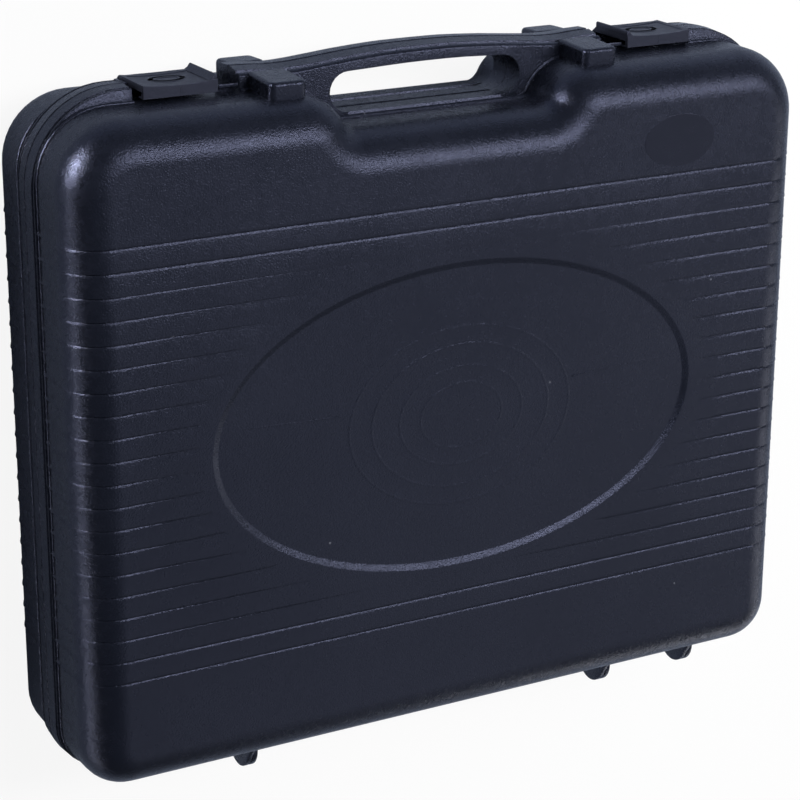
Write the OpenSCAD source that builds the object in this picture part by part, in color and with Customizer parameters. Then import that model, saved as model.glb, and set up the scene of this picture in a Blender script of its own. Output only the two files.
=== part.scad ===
// Portable butane stove packed in its blow-moulded carry case.
// Frame: the case lies on its back, +Z up out of the lid, the handle towards -Y,
// the hinges towards +Y. Z = 0 is the outer face of the base, and the Z axis runs
// through the middle of the whole part.

/* [Case] */
// Room between each side of the stove and the edge of the rim
side_room = 15; // [13:0.5:30]
// Room between the back of the stove and the hinge-side wall
rear_room = 8.5; // [7:0.5:20]
// Room between the cartridge door and the lid
lid_room = 4.5; // [3:0.5:12]
// Wall of each shell
shell_wall = 4; // [3.2:0.1:5]
// Radius between each side wall and the outer face
edge_r = 18.6; // [12:0.2:19]
// Inward lean of the side walls over their straight height
draft = 0.7; // [0.2:0.1:1.5]
// How much rounder the corners on the handle side are than the edge
front_corner_add = 11.7; // [8:0.1:18]
// How much rounder the corners on the hinge side are than the edge
rear_corner_add = 2.7; // [1.5:0.1:8]
// Height of the rim along the parting plane, on each shell
rim_h = 10; // [7:0.5:12]
// How far the rim stands out from the side and hinge walls
rim_side = 1.4; // [1:0.1:2.5]
// How far the rim stands out from the handle-side wall
rim_front = 6; // [5:0.5:8]
// How much rounder the rim is than the shell at its corners on the handle side
rim_corner_add = 9; // [5:0.5:15]

/* [Handle] */
// Depth of the recess below the handle
recess_depth = 15.5; // [12:0.5:17]
// Half length of the straight floor of the recess
recess_half = 46; // [42:1:52]
// Length of each S-shaped end of the recess
recess_run = 25; // [23.5:0.5:28]
// Half length of the handle
handle_half = 91; // [88:0.5:91.5]
// How far the handle ends stand out from the shell wall
handle_end_out = 8.6; // [7:0.2:9.4]
// Rise of the arch from the handle ends to its middle
handle_rise = 4.4; // [3:0.2:10]
// Thickness of the grip at its middle
grip_t = 7.8; // [7:0.2:11]
// Half length of the hand hole
hole_half = 48; // [42:1:54]
// Half width of the grip along Z, on each shell
grip_h = 11.5; // [9:0.5:14]
// Width of each end block beside the handle
block_w = 16; // [12:1:20]
// Distance from the handle ends to the end blocks
block_in = 4.5; // [2:0.5:10]
// Height of the end blocks above the parting plane
block_h = 31; // [24:1:34]

/* [Latches] */
// Length of each sliding latch
latch_l = 34; // [28:1:36]
// Gap that a locked latch leaves to the handle
latch_room = 2; // [1:0.1:6]
// Travel of a latch towards the handle
latch_travel = 10; // [6:0.5:10]
// Half width of a latch along Z
latch_h = 16; // [15:0.5:18]
// Thickness of the latch plate
latch_t = 3; // [2.4:0.1:4]
// Thickness of the two latch lips
latch_lip = 2.2; // [1.8:0.1:2.6]
// Reach of the hooks on the lips
latch_hook = 3.2; // [2.4:0.1:3.4]
// Thickness of the hooks
hook_t = 1.6; // [1.2:0.1:1.8]
// Height of the thumb ridge above the latch plate
thumb_h = 1.6; // [0.8:0.1:2.4]
// Running gap between a latch and its rail
latch_gap = 0.3; // [0.2:0.05:0.5]

/* [Hinges] */
// Radius of the hinge knuckles
knuckle_r = 11.2; // [9:0.2:13]
// Gap between the knuckles and the hinge-side wall
knuckle_room = 0.8; // [0.5:0.1:2]
// Distance from the left side to the first hinge
hinge_side = 29; // [24:0.5:50]
// Distance between the first and the second hinge
hinge_step = 50; // [30:1:90]
// Distance from the right side to the third hinge
hinge_far = 95; // [30:1:130]
// Thickness of each knuckle plate
knuckle_t = 2.5; // [2:0.1:4]
// Side gap between neighbouring knuckle plates
knuckle_gap = 0.3; // [0.2:0.05:0.5]
// Diameter of the hinge pins
pin_d = 4; // [3:0.1:5]
// Radial running clearance of the hinge pins
pin_clear = 0.06; // [0.03:0.01:0.1]

/* [Face] */
// Half width of the sunk oval on each outer face
oval_a = 122.5; // [100:0.5:130]
// Half length of the sunk oval on each outer face
oval_b = 71.5; // [60:0.5:80]
// Depth of the sunk oval
oval_depth = 2; // [1:0.1:2.4]

/* [Stove] */
// Length of the stove behind the foot of the gas cartridge
cartridge_tail = 15; // [10:0.5:30]
// Height of the rubber feet
foot_h = 8; // [6:0.5:9]
// Sheet thickness of the steel parts
sheet = 0.8; // [0.6:0.1:1.6]
// Corner radius of the stove body
stove_corner_r = 14; // [10:1:20]
// Gap between the front panel and the wall of the handle recess
panel_gap = 3; // [3:0.5:6]
// How much wider than the gas cartridge its bay is
bay_room = 27; // [22:0.5:36]
// Diameter of the gas cartridge that the bay takes
cartridge_d = 66; // [64:0.5:68]
// Length of the gas cartridge that the bay takes
cartridge_l = 190; // [184:1:194]
// Gap between the cartridge and the floor of the stove
cartridge_low = 1.4; // [0.8:0.1:3]
// Gap between the cartridge and the top of its door
door_room = 3; // [1:0.2:8]

/* [Burner] */
// Radius of the burner head
burner_r = 34; // [28:1:38]
// Outer radius of the drip pan
drip_r = 98; // [90:1:104]
// Depth of the drip pan
drip_depth = 20; // [16:1:24]
// Outer diameter of the mixing tube
tube_d = 20; // [16:1:24]
// How far the pan support reaches past the drip pan
support_out = 9; // [5:0.5:14]
// Gap between the pan support and each side of its half of the stove
support_room = 16.1; // [8:0.1:30]
// Gap between the mixing tube and the drip pan
pan_room = 4.9; // [2:0.1:12]
// Height of the pan support prongs
prong_h = 17; // [12:0.5:18]

/* [Controls] */
// Radius of the control knob
knob_r = 19; // [16:0.5:21]
// Thickness of the control knob
knob_t = 13; // [10:0.5:14]
// Distance of the knob axis outwards from the middle of the cartridge bay
knob_off = 7.3; // [4:0.1:11]
// Diameter of the valve spindle
spindle_d = 6; // [5:0.1:7]
// Radial running clearance of the spindle
spindle_clear = 0.05; // [0.02:0.01:0.1]
// Travel of the cartridge lock lever
lever_travel = 12; // [8:0.5:14]
// Travel of the cartridge yoke when the lever is pushed down
yoke_travel = 5; // [3:0.5:6]

/* [Hidden] */
$fn = 64;

case_black = [0.15, 0.16, 0.20];
latch_black = [0.12, 0.12, 0.15];
steel_black = [0.10, 0.10, 0.11];
enamel_black = [0.06, 0.06, 0.07];
steel_grey = [0.62, 0.63, 0.65];
brass = [0.80, 0.65, 0.30];
rubber_black = [0.08, 0.08, 0.08];
ceramic_white = [0.90, 0.88, 0.84];
lead_red = [0.60, 0.10, 0.10];

// Heights in the stove, and the case that is made to it.
plate_edge = 0.05;
door_gap = 0.6;
reg_in = 16;
reg_l = 42;
nipple_l = 7;
floor_z = shell_wall;
body_z = floor_z + foot_h;
head_floor = body_z + 5;
tube_z = head_floor + 1 + tube_d / 2;
deck_z = tube_z + tube_d / 2 + pan_room + drip_depth - sheet - 2 * plate_edge;
stove_h = deck_z - body_z;
door_z = deck_z + sheet + 2 * plate_edge + door_gap;
cartridge_z = body_z + sheet + cartridge_low + cartridge_d / 2;
door_h = cartridge_z + cartridge_d / 2 + door_room + sheet - deck_z;
support_w = 2 * (drip_r + support_out);
bay_w = cartridge_d + bay_room;
stove_w = support_w + 2 * support_room + bay_w + sheet;
stove_l = reg_in + reg_l + nipple_l + cartridge_l + cartridge_tail;
case_w = stove_w + 2 * side_room;
shell_l = recess_depth + shell_wall + panel_gap + stove_l + rear_room;
shell_d = (door_z + door_h + lid_room + shell_wall) / 2;

// Outline of a shell.
front_corner_r = edge_r + draft + front_corner_add;
rear_corner_r = edge_r + draft + rear_corner_add;
rim_corner_r = front_corner_r + rim_corner_add;
shell_half_w = case_w / 2 - rim_side;
shell_half_l = shell_l / 2;
handle_reach = handle_end_out + handle_rise;
hinge_reach = 2 * knuckle_r + knuckle_room;
middle_y = (handle_reach - hinge_reach) / 2;
front_y = middle_y - shell_half_l;
rear_y = middle_y + shell_half_l;
recess_y = front_y + recess_depth;
s_angle = 2 * atan(recess_depth / recess_run);
s_radii = recess_run / sin(s_angle);
s_round = 1.2;
s_convex_r = edge_r + draft + s_round;
s_concave_r = s_radii - s_convex_r;
corner_steps = 6;
s_steps = 4;

function arc(cx, cy, r, from, to, steps, first = 0) =
    [for (i = [first : steps]) let (a = from + (to - from) * i / steps) [cx + r * cos(a), cy + r * sin(a)]];

function mirrored(half) = concat(half, [for (i = [len(half) - 1 : -1 : 0]) [-half[i][0], half[i][1]]]);

// Right half of the shell outline, moved inwards by d.
function shell_half(d) = concat(
    arc(recess_half, recess_y - s_concave_r, s_concave_r + d, 90, 90 - s_angle, s_steps),
    arc(recess_half + recess_run, front_y + s_convex_r, s_convex_r - d, 270 - s_angle, 270,
        s_steps, 1),
    arc(shell_half_w - front_corner_r, front_y + front_corner_r, front_corner_r - d,
        -90, 0, corner_steps),
    arc(shell_half_w - rear_corner_r, rear_y - rear_corner_r, rear_corner_r - d, 0, 90, corner_steps));

// Right half of the rim outline, with the same number of points.
rim_half_w = case_w / 2;
rim_y = front_y - rim_front;
rim_recess = 1;
rim_recess_y = recess_y - rim_recess;
rim_s_angle = 2 * atan((rim_recess_y - rim_y) / recess_run);
rim_s_radii = recess_run / sin(rim_s_angle);
rim_half = concat(
    arc(recess_half, rim_recess_y - rim_s_radii / 3, rim_s_radii / 3, 90, 90 - rim_s_angle, s_steps),
    arc(recess_half + recess_run, rim_y + rim_s_radii * 2 / 3, rim_s_radii * 2 / 3,
        270 - rim_s_angle, 270, s_steps, 1),
    arc(rim_half_w - rim_corner_r, rim_y + rim_corner_r, rim_corner_r, -90, 0, corner_steps),
    arc(rim_half_w - rear_corner_r, rear_y + rim_side - rear_corner_r, rear_corner_r,
        0, 90, corner_steps));

function ring(half, z) = [for (p = mirrored(half)) [p[0], p[1], z]];

// One shell: outer skin, rim and inner skin as one closed surface.
edge_steps = 6;
wall_top = shell_d - edge_r;
inner_r = edge_r - shell_wall;
function fillet_d(r, a) = draft + (edge_r - r) + r * (1 - cos(a));
function fillet_z(r, a) = wall_top + r * sin(a);

shell_rings = concat(
    [ring(rim_half, 0), ring(rim_half, rim_h), ring(shell_half(0), rim_h)],
    [for (i = [0 : edge_steps]) let (a = 90 * i / edge_steps)
        ring(shell_half(fillet_d(edge_r, a)), fillet_z(edge_r, a))],
    [for (i = [edge_steps : -1 : 0]) let (a = 90 * i / edge_steps)
        ring(shell_half(fillet_d(inner_r, a)), fillet_z(inner_r, a))],
    [ring(shell_half(shell_wall), 0)]);

module shell_skin() {
    n = len(shell_rings[0]);
    m = len(shell_rings);
    walls = [for (k = [0 : m - 1], i = [0 : n - 1]) let (k2 = (k + 1) % m, j = (i + 1) % n)
        [k * n + i, k2 * n + i, k2 * n + j, k * n + j]];
    outer_cap = [for (i = [0 : n - 1]) (3 + edge_steps) * n + i];
    inner_cap = [for (i = [n - 1 : -1 : 0]) (4 + edge_steps) * n + i];
    joined = [for (f = walls) if (floor(f[0] / n) != 3 + edge_steps) f];
    polyhedron([for (r = shell_rings) for (p = r) p],
        [for (f = concat(joined, [outer_cap, inner_cap])) [for (i = [len(f) - 1 : -1 : 0]) f[i]]]);
}

oval_steps = 48;
module sunk_oval() {
    translate([0, middle_y, shell_d - oval_depth])
        linear_extrude(oval_depth + 1)
            polygon([for (i = [0 : oval_steps - 1]) let (a = 360 * i / oval_steps)
                [oval_a * cos(a), oval_b * sin(a)]]);
}

// The handle, half of it on each shell.
handle_end_y = front_y - handle_end_out;
handle_top_y = handle_end_y - handle_rise;
grip_y = handle_top_y + grip_t;
hole_corner_r = 6;
arch_steps = 16;
function arch_y(x) = handle_end_y - handle_rise * (1 - pow(x / handle_half, 2));

module handle_half_plate() {
    root_y = rim_recess_y + 3;
    foot_y = front_y + 1;
    foot_x = recess_half + recess_run - 4;
    root_x = recess_half + 2;
    difference() {
        linear_extrude(grip_h)
            polygon(concat(
                [for (i = [-arch_steps : arch_steps]) let (x = handle_half * i / arch_steps)
                    [x, arch_y(x)]],
                [[handle_half, foot_y], [foot_x, foot_y], [root_x, root_y], [-root_x, root_y],
                 [-foot_x, foot_y], [-handle_half, foot_y]]));
        translate([0, 0, -1])
            linear_extrude(grip_h + 2)
                hand_hole();
    }
}

module hand_hole() {
    bottom_y = rim_recess_y;
    for (s = [-1, 1])
        translate([s * (hole_half - hole_corner_r), (grip_y + bottom_y) / 2])
            square([2 * hole_corner_r, bottom_y - grip_y - 2], center = true);
    translate([0, (grip_y + bottom_y) / 2])
        square([2 * (hole_half - hole_corner_r), bottom_y - grip_y], center = true);
}

// Side profile of an end block, sloping down away from the handle.
block_x = handle_half - block_in - block_w;
module end_block(side) {
    block_drop = 2.4;
    block_y = front_y - rim_front - 1.7;
    block_foot = 4;
    x0 = side > 0 ? block_x : -block_x - block_w;
    translate([x0, 0, 0])
        rotate([90, 0, 90])
            linear_extrude(block_w)
                polygon([[block_y, rim_h - 1], [block_y + block_drop, block_h],
                    [front_y + block_foot, block_h - 1], [front_y + block_foot, rim_h - 1]]);
}

// Latch rails. The head of a rail is what the latch hooks behind.
head_out = 4;
head_y = front_y - head_out;
head_t = 1.6;
head_h = latch_h - latch_lip - latch_gap;
locked_x = handle_half + latch_room;
latch_x = locked_x + latch_travel;
latch_outer_x = latch_x + latch_l;
stop_t = 2.2;
rail_end_gap = 0.4;

// A T-shaped rail between two distances from the middle, on one side.
module rail(side, x0, x1) {
    a = side > 0 ? x0 : -x1;
    translate([a, head_y, 0])
        cube([x1 - x0, head_t, head_h]);
    translate([a, head_y + head_t - 0.4, 0])
        cube([x1 - x0, -(head_y + head_t) + front_y + 1.4, rim_h]);
}

// Space in the rim that a latch slides in.
module latch_bay(side) {
    x0 = handle_half;
    x1 = latch_outer_x + rail_end_gap;
    translate([side > 0 ? x0 : -x1, front_y - 2 * rim_front, -1])
        cube([x1 - x0, 2 * rim_front, rim_h + 2]);
}

// Hinge knuckles.
hinge_y = rear_y + knuckle_r + knuckle_room;
station_x = [hinge_side - rim_half_w, hinge_side + hinge_step - rim_half_w,
    rim_half_w - hinge_far];
knuckle_notch = 0.5;
notch_w = 2 * knuckle_t + knuckle_gap + 2 * knuckle_notch;
web_depth = 24;

// A round plate on the hinge axis with a web down the outside of the shell.
module knuckle(x0) {
    translate([x0, 0, 0])
        rotate([90, 0, 90])
            linear_extrude(knuckle_t)
                union() {
                    translate([hinge_y, 0])
                        circle(knuckle_r);
                    polygon([[hinge_y + knuckle_r * cos(20), knuckle_r * sin(20)],
                        [rear_y - 1, web_depth], [rear_y - 1, 1],
                        [hinge_y, 0]]);
                }
}

module knuckle_bore(x0) {
    translate([x0 - 1, hinge_y, 0])
        rotate([0, 90, 0])
            cylinder(d = pin_d + 2 * pin_clear, h = knuckle_t + 2);
}

// Cuts the rim away where the knuckles turn.
module knuckle_slot(x) {
    translate([x - notch_w / 2, rear_y, -1])
        cube([notch_w, rim_side + 1, rim_h + 2]);
}

// One shell with its rim at Z = 0 and its outer face at Z = shell_d.
module plain_shell(knuckle_side) {
    difference() {
        union() {
            difference() {
                shell_skin();
                sunk_oval();
                for (x = station_x)
                    knuckle_slot(x);
                for (side = [-1, 1])
                    latch_bay(side);
            }
            handle_half_plate();
            for (side = [-1, 1])
                end_block(side);
            for (x = station_x)
                knuckle(x + knuckle_x(knuckle_side));
        }
        for (x = station_x)
            knuckle_bore(x + knuckle_x(knuckle_side));
    }
}
function knuckle_x(s) = s > 0 ? knuckle_gap / 2 : -knuckle_gap / 2 - knuckle_t;

// Where the stove stands.
panel_y = recess_y + shell_wall + panel_gap;
stove_y = panel_y + stove_l / 2;
stove_rear = panel_y + stove_l;
stove_half = stove_w / 2;
bay_x = stove_half - sheet - bay_w;
bay_mid = bay_x + bay_w / 2;

module base_shell() {
    color(case_black)
        union() {
            translate([0, 0, shell_d])
                mirror([0, 0, 1])
                    union() {
                        plain_shell(-1);
                        for (side = [-1, 1]) {
                            rail(side, locked_x - 0.5, latch_outer_x + stop_t);
                            latch_stop(side);
                        }
                    }
            stove_stops();
        }
}

// Outer stop of the latch travel.
module latch_stop(side) {
    x0 = latch_outer_x + rail_end_gap;
    translate([side > 0 ? x0 : -x0 - stop_t, rim_y, 0])
        cube([stop_t, rim_front + 1, rim_h]);
}

// Ribs on the case floor that keep the stove from sliding.
rib_gap = 0.8;
rib_w = 5;
rib_l = 24;
rib_h = 16;
rib_in = 55;
module stove_stops() {
    for (side = [-1, 1], y = [panel_y + rib_in, stove_rear - rib_in])
        translate([side * (stove_half + rib_gap + rib_w / 2), y, floor_z + rib_h / 2])
            cube([rib_w, rib_l, rib_h + 1], center = true);
}

module lid_shell() {
    color(case_black)
        translate([0, 0, shell_d])
            union() {
                plain_shell(1);
                for (side = [-1, 1])
                    rail(side, locked_x - 0.5, latch_x - 1.5);
            }
}

// A sliding latch around the parting plane, its lips hooked over the rails.
latch_top_y = head_y - latch_gap - latch_t;
module latch(side) {
    hook_y = head_y + head_t + latch_gap;
    x0 = side > 0 ? latch_x : -latch_outer_x;
    thumb_w = 3;
    color(latch_black)
        translate([0, 0, shell_d])
            union() {
                translate([x0, latch_top_y, -latch_h])
                    cube([latch_l, latch_t, 2 * latch_h]);
                for (z = [-1, 1]) {
                    translate([x0, latch_top_y, z > 0 ? latch_h - latch_lip : -latch_h])
                        cube([latch_l, hook_y + hook_t - latch_top_y, latch_lip]);
                    translate([x0, hook_y, z > 0 ? latch_h - latch_hook : -latch_h])
                        cube([latch_l, hook_t, latch_hook]);
                }
                translate([side > 0 ? latch_x : -latch_x - thumb_w, latch_top_y - thumb_h, -latch_h])
                    cube([thumb_w, thumb_h + 1, 2 * latch_h]);
            }
}
module latch_left() { latch(-1); }
module latch_right() { latch(1); }

module hinge_pins() {
    head_d = pin_d + 3;
    head_l = 0.8;
    pin_l = 2 * knuckle_t + knuckle_gap;
    color(latch_black)
        for (x = station_x)
            translate([x - pin_l / 2, hinge_y, shell_d])
                rotate([0, 90, 0])
                    union() {
                        cylinder(d = pin_d, h = pin_l + 0.1);
                        translate([0, 0, -head_l - 0.05])
                            cylinder(d = head_d, h = head_l);
                        translate([0, 0, -0.1])
                            cylinder(d = pin_d, h = 0.2);
                        translate([0, 0, pin_l + 0.05])
                            cylinder(d = head_d, h = head_l);
                    }
}

// Sheet metal of the stove.
module rounded_rect(w, l, r) {
    union() {
        square([w - 2 * r, l], center = true);
        square([w, l - 2 * r], center = true);
        for (x = [-1, 1], y = [-1, 1])
            translate([x * (w / 2 - r), y * (l / 2 - r)])
                circle(r);
    }
}

knob_up = 30;
knob_z = body_z + knob_up;
knob_x = bay_mid + knob_off;
lever_in = 14;
lever_x = bay_x + lever_in;
lever_z = knob_z + 6;
lever_w = 12;
lever_shank_w = 4;
slot_clear = 1.5;
burner_x = -stove_half + (bay_x + stove_half) / 2;
burner_y = stove_y;

module stove_body() {
    color(steel_black)
        difference() {
            translate([0, stove_y, body_z])
                linear_extrude(stove_h)
                    rounded_rect(stove_w, stove_l, stove_corner_r);
            translate([0, stove_y, body_z + sheet])
                linear_extrude(stove_h)
                    rounded_rect(stove_w - 2 * sheet, stove_l - 2 * sheet, stove_corner_r - sheet);
            translate([knob_x, panel_y - 1, knob_z])
                rotate([-90, 0, 0])
                    cylinder(d = spindle_d + 2, h = sheet + 2);
            translate([lever_x - lever_shank_w / 2 - slot_clear, panel_y - 1,
                    lever_z - lever_travel - lever_shank_w / 2 - slot_clear])
                cube([lever_shank_w + 2 * slot_clear, sheet + 2,
                    lever_travel + lever_shank_w + 2 * slot_clear]);
            for (p = foot_places)
                translate([p[0], p[1], body_z - 1])
                    cylinder(d = screw_d, h = sheet + 2);
        }
}

module top_plate() {
    ear_w = 8;
    ear_h = 5;
    color(steel_black)
        difference() {
            union() {
                translate([0, stove_y, deck_z + plate_edge])
                    linear_extrude(sheet)
                        rounded_rect(stove_w, stove_l, stove_corner_r);
                for (y = [door_y0 - ear_reach, door_y1 + ear_gap])
                    translate([door_pin_x - ear_w / 2, y, deck_z + plate_edge + sheet / 2])
                        cube([ear_w, sheet, ear_h + sheet / 2]);
            }
            translate([door_pin_x, door_y1 + 5, door_pin_z])
                rotate([90, 0, 0])
                    cylinder(d = door_pin_d + 2 * door_pin_fit, h = door_y1 - door_y0 + 10);
            translate([bay_x, panel_y + bay_front, deck_z - 1])
                cube([bay_w + sheet - bay_side, stove_l - bay_front - bay_rear, sheet + 3]);
            translate([burner_x, burner_y, deck_z - 1])
                cylinder(r = drip_r - drip_lip + drip_gap, h = sheet + 3);
            for (p = deck_screws)
                translate([p[0], p[1], deck_z - 1])
                    cylinder(d = screw_d, h = sheet + 3);
        }
}
bay_front = 10;
bay_rear = 8;
bay_side = 5;
drip_lip = 5;
drip_gap = 0.4;

module drip_pan() {
    z = deck_z + sheet + 2 * plate_edge;
    rim = drip_r - drip_lip;
    floor_r = rim - 16;
    color(enamel_black)
        difference() {
            translate([burner_x, burner_y, z])
                rotate_extrude()
                    polygon([[burner_r + 3, -drip_depth], [floor_r, -drip_depth], [rim, -sheet],
                        [rim, 0], [drip_r, 0], [drip_r, sheet], [rim - sheet, sheet],
                        [floor_r - 0.5, -drip_depth + sheet], [burner_r + 3, -drip_depth + sheet]]);
            translate([electrode_x, electrode_y, z - drip_depth - 1])
                cylinder(d = electrode_d + 3, h = sheet + 2);
        }
}

support_z = deck_z + 2 * sheet + 4 * plate_edge;
ring_r = burner_r + 32;
module pan_support() {
    support_t = 2;
    support_corner_r = 24;
    prong_w = 4;
    prong_in = burner_r + 12;
    color(enamel_black)
        translate([burner_x, burner_y, support_z])
            union() {
                difference() {
                    linear_extrude(support_t)
                        rounded_rect(support_w, support_w, support_corner_r);
                    translate([0, 0, -1])
                        cylinder(r = ring_r, h = support_t + 2);
                }
                for (a = [45 : 90 : 315])
                    rotate(a)
                        translate([prong_in, -prong_w / 2, -prong_h])
                            cube([ring_r - prong_in + 1, prong_w, prong_h + support_t]);
            }
}

// Burner.
chamber_r = 18;
neck_z = tube_z + tube_d / 2 + 2;
chamber_wall = 3;
head_wall = 3;
head_top = deck_z - 8;
module burner_head() {
    color(steel_grey)
        difference() {
            translate([burner_x, burner_y, 0])
                rotate_extrude()
                    polygon([[0, head_floor], [chamber_r, head_floor], [chamber_r, neck_z],
                        [burner_r, head_top - 8], [burner_r, head_top],
                        [burner_r - head_wall, head_top], [burner_r - head_wall, head_top - 6],
                        [chamber_r - chamber_wall, neck_z + 1],
                        [chamber_r - chamber_wall, head_floor + 4], [0, head_floor + 4]]);
            translate([burner_x + 6, burner_y, tube_z])
                rotate([0, 90, 0])
                    cylinder(d = tube_d + 2 * tube_fit, h = 40);
        }
}
tube_wall = 1.5;
tube_fit = 0.05;

cap_seat = 0.05;
cap_over = 1;
cap_edge = 5;
cap_slope = 6;
cap_shoulder = 9;
cap_top = 10;
cap_dish_r = 12;
cap_dish_floor_r = 8;
cap_dish_z = 7;
port_count = 24;
port_d = 2;
port_z = 2.5;
module burner_cap() {
    color(brass)
        difference() {
            translate([burner_x, burner_y, head_top + cap_seat])
                rotate_extrude()
                    polygon([[0, 0], [burner_r + cap_over, 0], [burner_r + cap_over, cap_edge],
                        [burner_r - cap_slope, cap_shoulder], [cap_dish_r, cap_top],
                        [cap_dish_floor_r, cap_dish_z], [0, cap_dish_z]]);
            for (i = [0 : port_count - 1])
                translate([burner_x, burner_y, head_top + port_z])
                    rotate([0, 90, 360 * i / port_count])
                        translate([0, 0, burner_r - 2 * port_d])
                            cylinder(d = port_d, h = 4 * port_d, $fn = 16);
        }
}

module burner_bracket() {
    foot = 12;
    arm_y = 14;
    arm_half = 40;
    strap = 1.2;
    z0 = body_z + sheet + plate_edge;
    z1 = head_floor - plate_edge;
    color(steel_grey)
        translate([burner_x, burner_y, 0])
            union() {
                translate([-arm_half, -arm_y / 2, z1 - strap])
                    cube([2 * arm_half, arm_y, strap]);
                for (s = [-1, 1]) {
                    translate([s * (arm_half - strap / 2) - strap / 2, -arm_y / 2, z0])
                        cube([strap, arm_y, z1 - z0]);
                    translate([s > 0 ? arm_half - strap : -arm_half + strap - foot, -arm_y / 2, z0])
                        cube([foot, arm_y, strap]);
                }
            }
}

shield_x = bay_x - sheet;
jet_x = shield_x - 6;
jet_d = 9;
pipe_d = 6;
pipe_x = jet_x + 6;
jet_end = pipe_x - 0.1;
module mixing_tube() {
    x0 = burner_x + chamber_r - chamber_wall - 2;
    x1 = jet_x - 8;
    bell_l = 12;
    bell = 4;
    color(steel_grey)
        translate([x0, burner_y, tube_z])
            rotate([0, 90, 0])
                rotate_extrude()
                    polygon([[tube_d / 2 - tube_wall, 0], [tube_d / 2, 0], [tube_d / 2, x1 - x0 - bell_l],
                        [tube_d / 2 + bell, x1 - x0], [tube_d / 2 + bell - tube_wall, x1 - x0],
                        [tube_d / 2 - tube_wall, x1 - x0 - bell_l]]);
}

module gas_jet() {
    cone_l = 5;
    jet_l = jet_end - (jet_x - 10);
    color(brass)
        translate([jet_x - 10, burner_y, tube_z])
            rotate([0, 90, 0])
                difference() {
                    union() {
                        cylinder(d1 = 4, d2 = jet_d, h = cone_l);
                        translate([0, 0, cone_l])
                            cylinder(d = jet_d, h = jet_l - cone_l);
                    }
                    translate([0, 0, -1])
                        cylinder(d = 1, h = jet_l + 2, $fn = 16);
                }
}

// A round pipe through a list of points.
module piped(points, d) {
    for (i = [0 : len(points) - 2]) {
        a = points[i];
        b = points[i + 1];
        v = b - a;
        len_v = norm(v);
        translate(a)
            rotate([0, acos(v[2] / len_v), atan2(v[1], v[0])])
                cylinder(d = d, h = len_v);
    }
    for (i = [1 : len(points) - 2])
        translate(points[i])
            sphere(d = d);
}

reg_w = 46;
reg_x0 = bay_mid - reg_w / 2 + 3;
reg_y0 = panel_y + reg_in;
reg_h = 36;
reg_z0 = knob_z - reg_h / 2;
inlet_z = reg_z0 + 8;
inlet_y = reg_y0 + reg_l / 2;
module gas_pipe() {
    x1 = bay_x + pipe_d + 1;
    low = body_z + sheet + pipe_d / 2 + 5.2;
    color(brass)
        piped([[pipe_x, burner_y, tube_z], [x1, burner_y, tube_z], [x1, burner_y, low],
            [x1, inlet_y, low], [x1, inlet_y, inlet_z],
            [reg_x0 - plate_edge, inlet_y, inlet_z]], pipe_d);
}

nipple_d = 12;
collar_y = reg_y0 + reg_l;
cap_r = 17;
cap_h = 8;
module regulator() {
    color(steel_grey)
        difference() {
            union() {
                translate([reg_x0, reg_y0, reg_z0])
                    cube([reg_w, reg_l, reg_h]);
                translate([reg_x0 + reg_w / 2, inlet_y, reg_z0 + reg_h - 1])
                    cylinder(r = cap_r, h = cap_h);
                translate([bay_mid, collar_y - 1, cartridge_z])
                    rotate([-90, 0, 0])
                        cylinder(d = nipple_d, h = nipple_l);
            }
            translate([knob_x, reg_y0 - 1, knob_z])
                rotate([-90, 0, 0])
                    cylinder(d = spindle_d + 2 * spindle_clear, h = spindle_in + 1);
            translate([bay_mid, collar_y - 8, cartridge_z])
                rotate([-90, 0, 0])
                    cylinder(d = 3, h = 20);
        }
}
spindle_in = 14;

knob_back = 1.6;
spindle_out = 9;
module valve_spindle() {
    y0 = panel_y - knob_back - spindle_out;
    end_gap = 0.3;
    color(brass)
        translate([knob_x, y0, knob_z])
            rotate([-90, 0, 0])
                cylinder(d = spindle_d, h = reg_y0 + spindle_in - end_gap - y0);
}

module control_knob() {
    bar_w = 8;
    bar_t = 5;
    bar_in = 3;
    skirt_t = 4;
    color(rubber_black)
        translate([knob_x, panel_y - knob_back, knob_z])
            rotate([90, 0, 0])
                difference() {
                    union() {
                        cylinder(r = knob_r, h = skirt_t);
                        cylinder(r = knob_r - skirt_t, h = knob_t - bar_t);
                        translate([-bar_w / 2, bar_in - knob_r, 0])
                            cube([bar_w, 2 * (knob_r - bar_in), knob_t]);
                    }
                    translate([0, 0, -1])
                        cylinder(d = spindle_d + 2 * spindle_clear, h = spindle_out + 1.3);
                }
}

module dial_plate() {
    dial_t = 0.8;
    color(steel_grey)
        difference() {
            translate([knob_x, panel_y - plate_edge, knob_z])
                rotate([90, 0, 0])
                    cylinder(r = knob_r + 3, h = dial_t);
            translate([knob_x, panel_y + 1, knob_z])
                rotate([90, 0, 0])
                    cylinder(d = spindle_d + 2, h = dial_t + 2);
        }
}

piezo_d = 10;
piezo_l = 30;
piezo_end = 6;
piezo_x = bay_mid + bay_w / 2 - piezo_d - 1;
piezo_y = panel_y + sheet + 5.2;
piezo_z = body_z + sheet + piezo_d / 2 + 0.4;
module piezo_igniter() {
    color(rubber_black)
        translate([piezo_x, piezo_y, piezo_z])
            rotate([-90, 0, 0])
                union() {
                    cylinder(d = piezo_d, h = piezo_l);
                    cylinder(d = piezo_end, h = piezo_l + piezo_end);
                }
}

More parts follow.
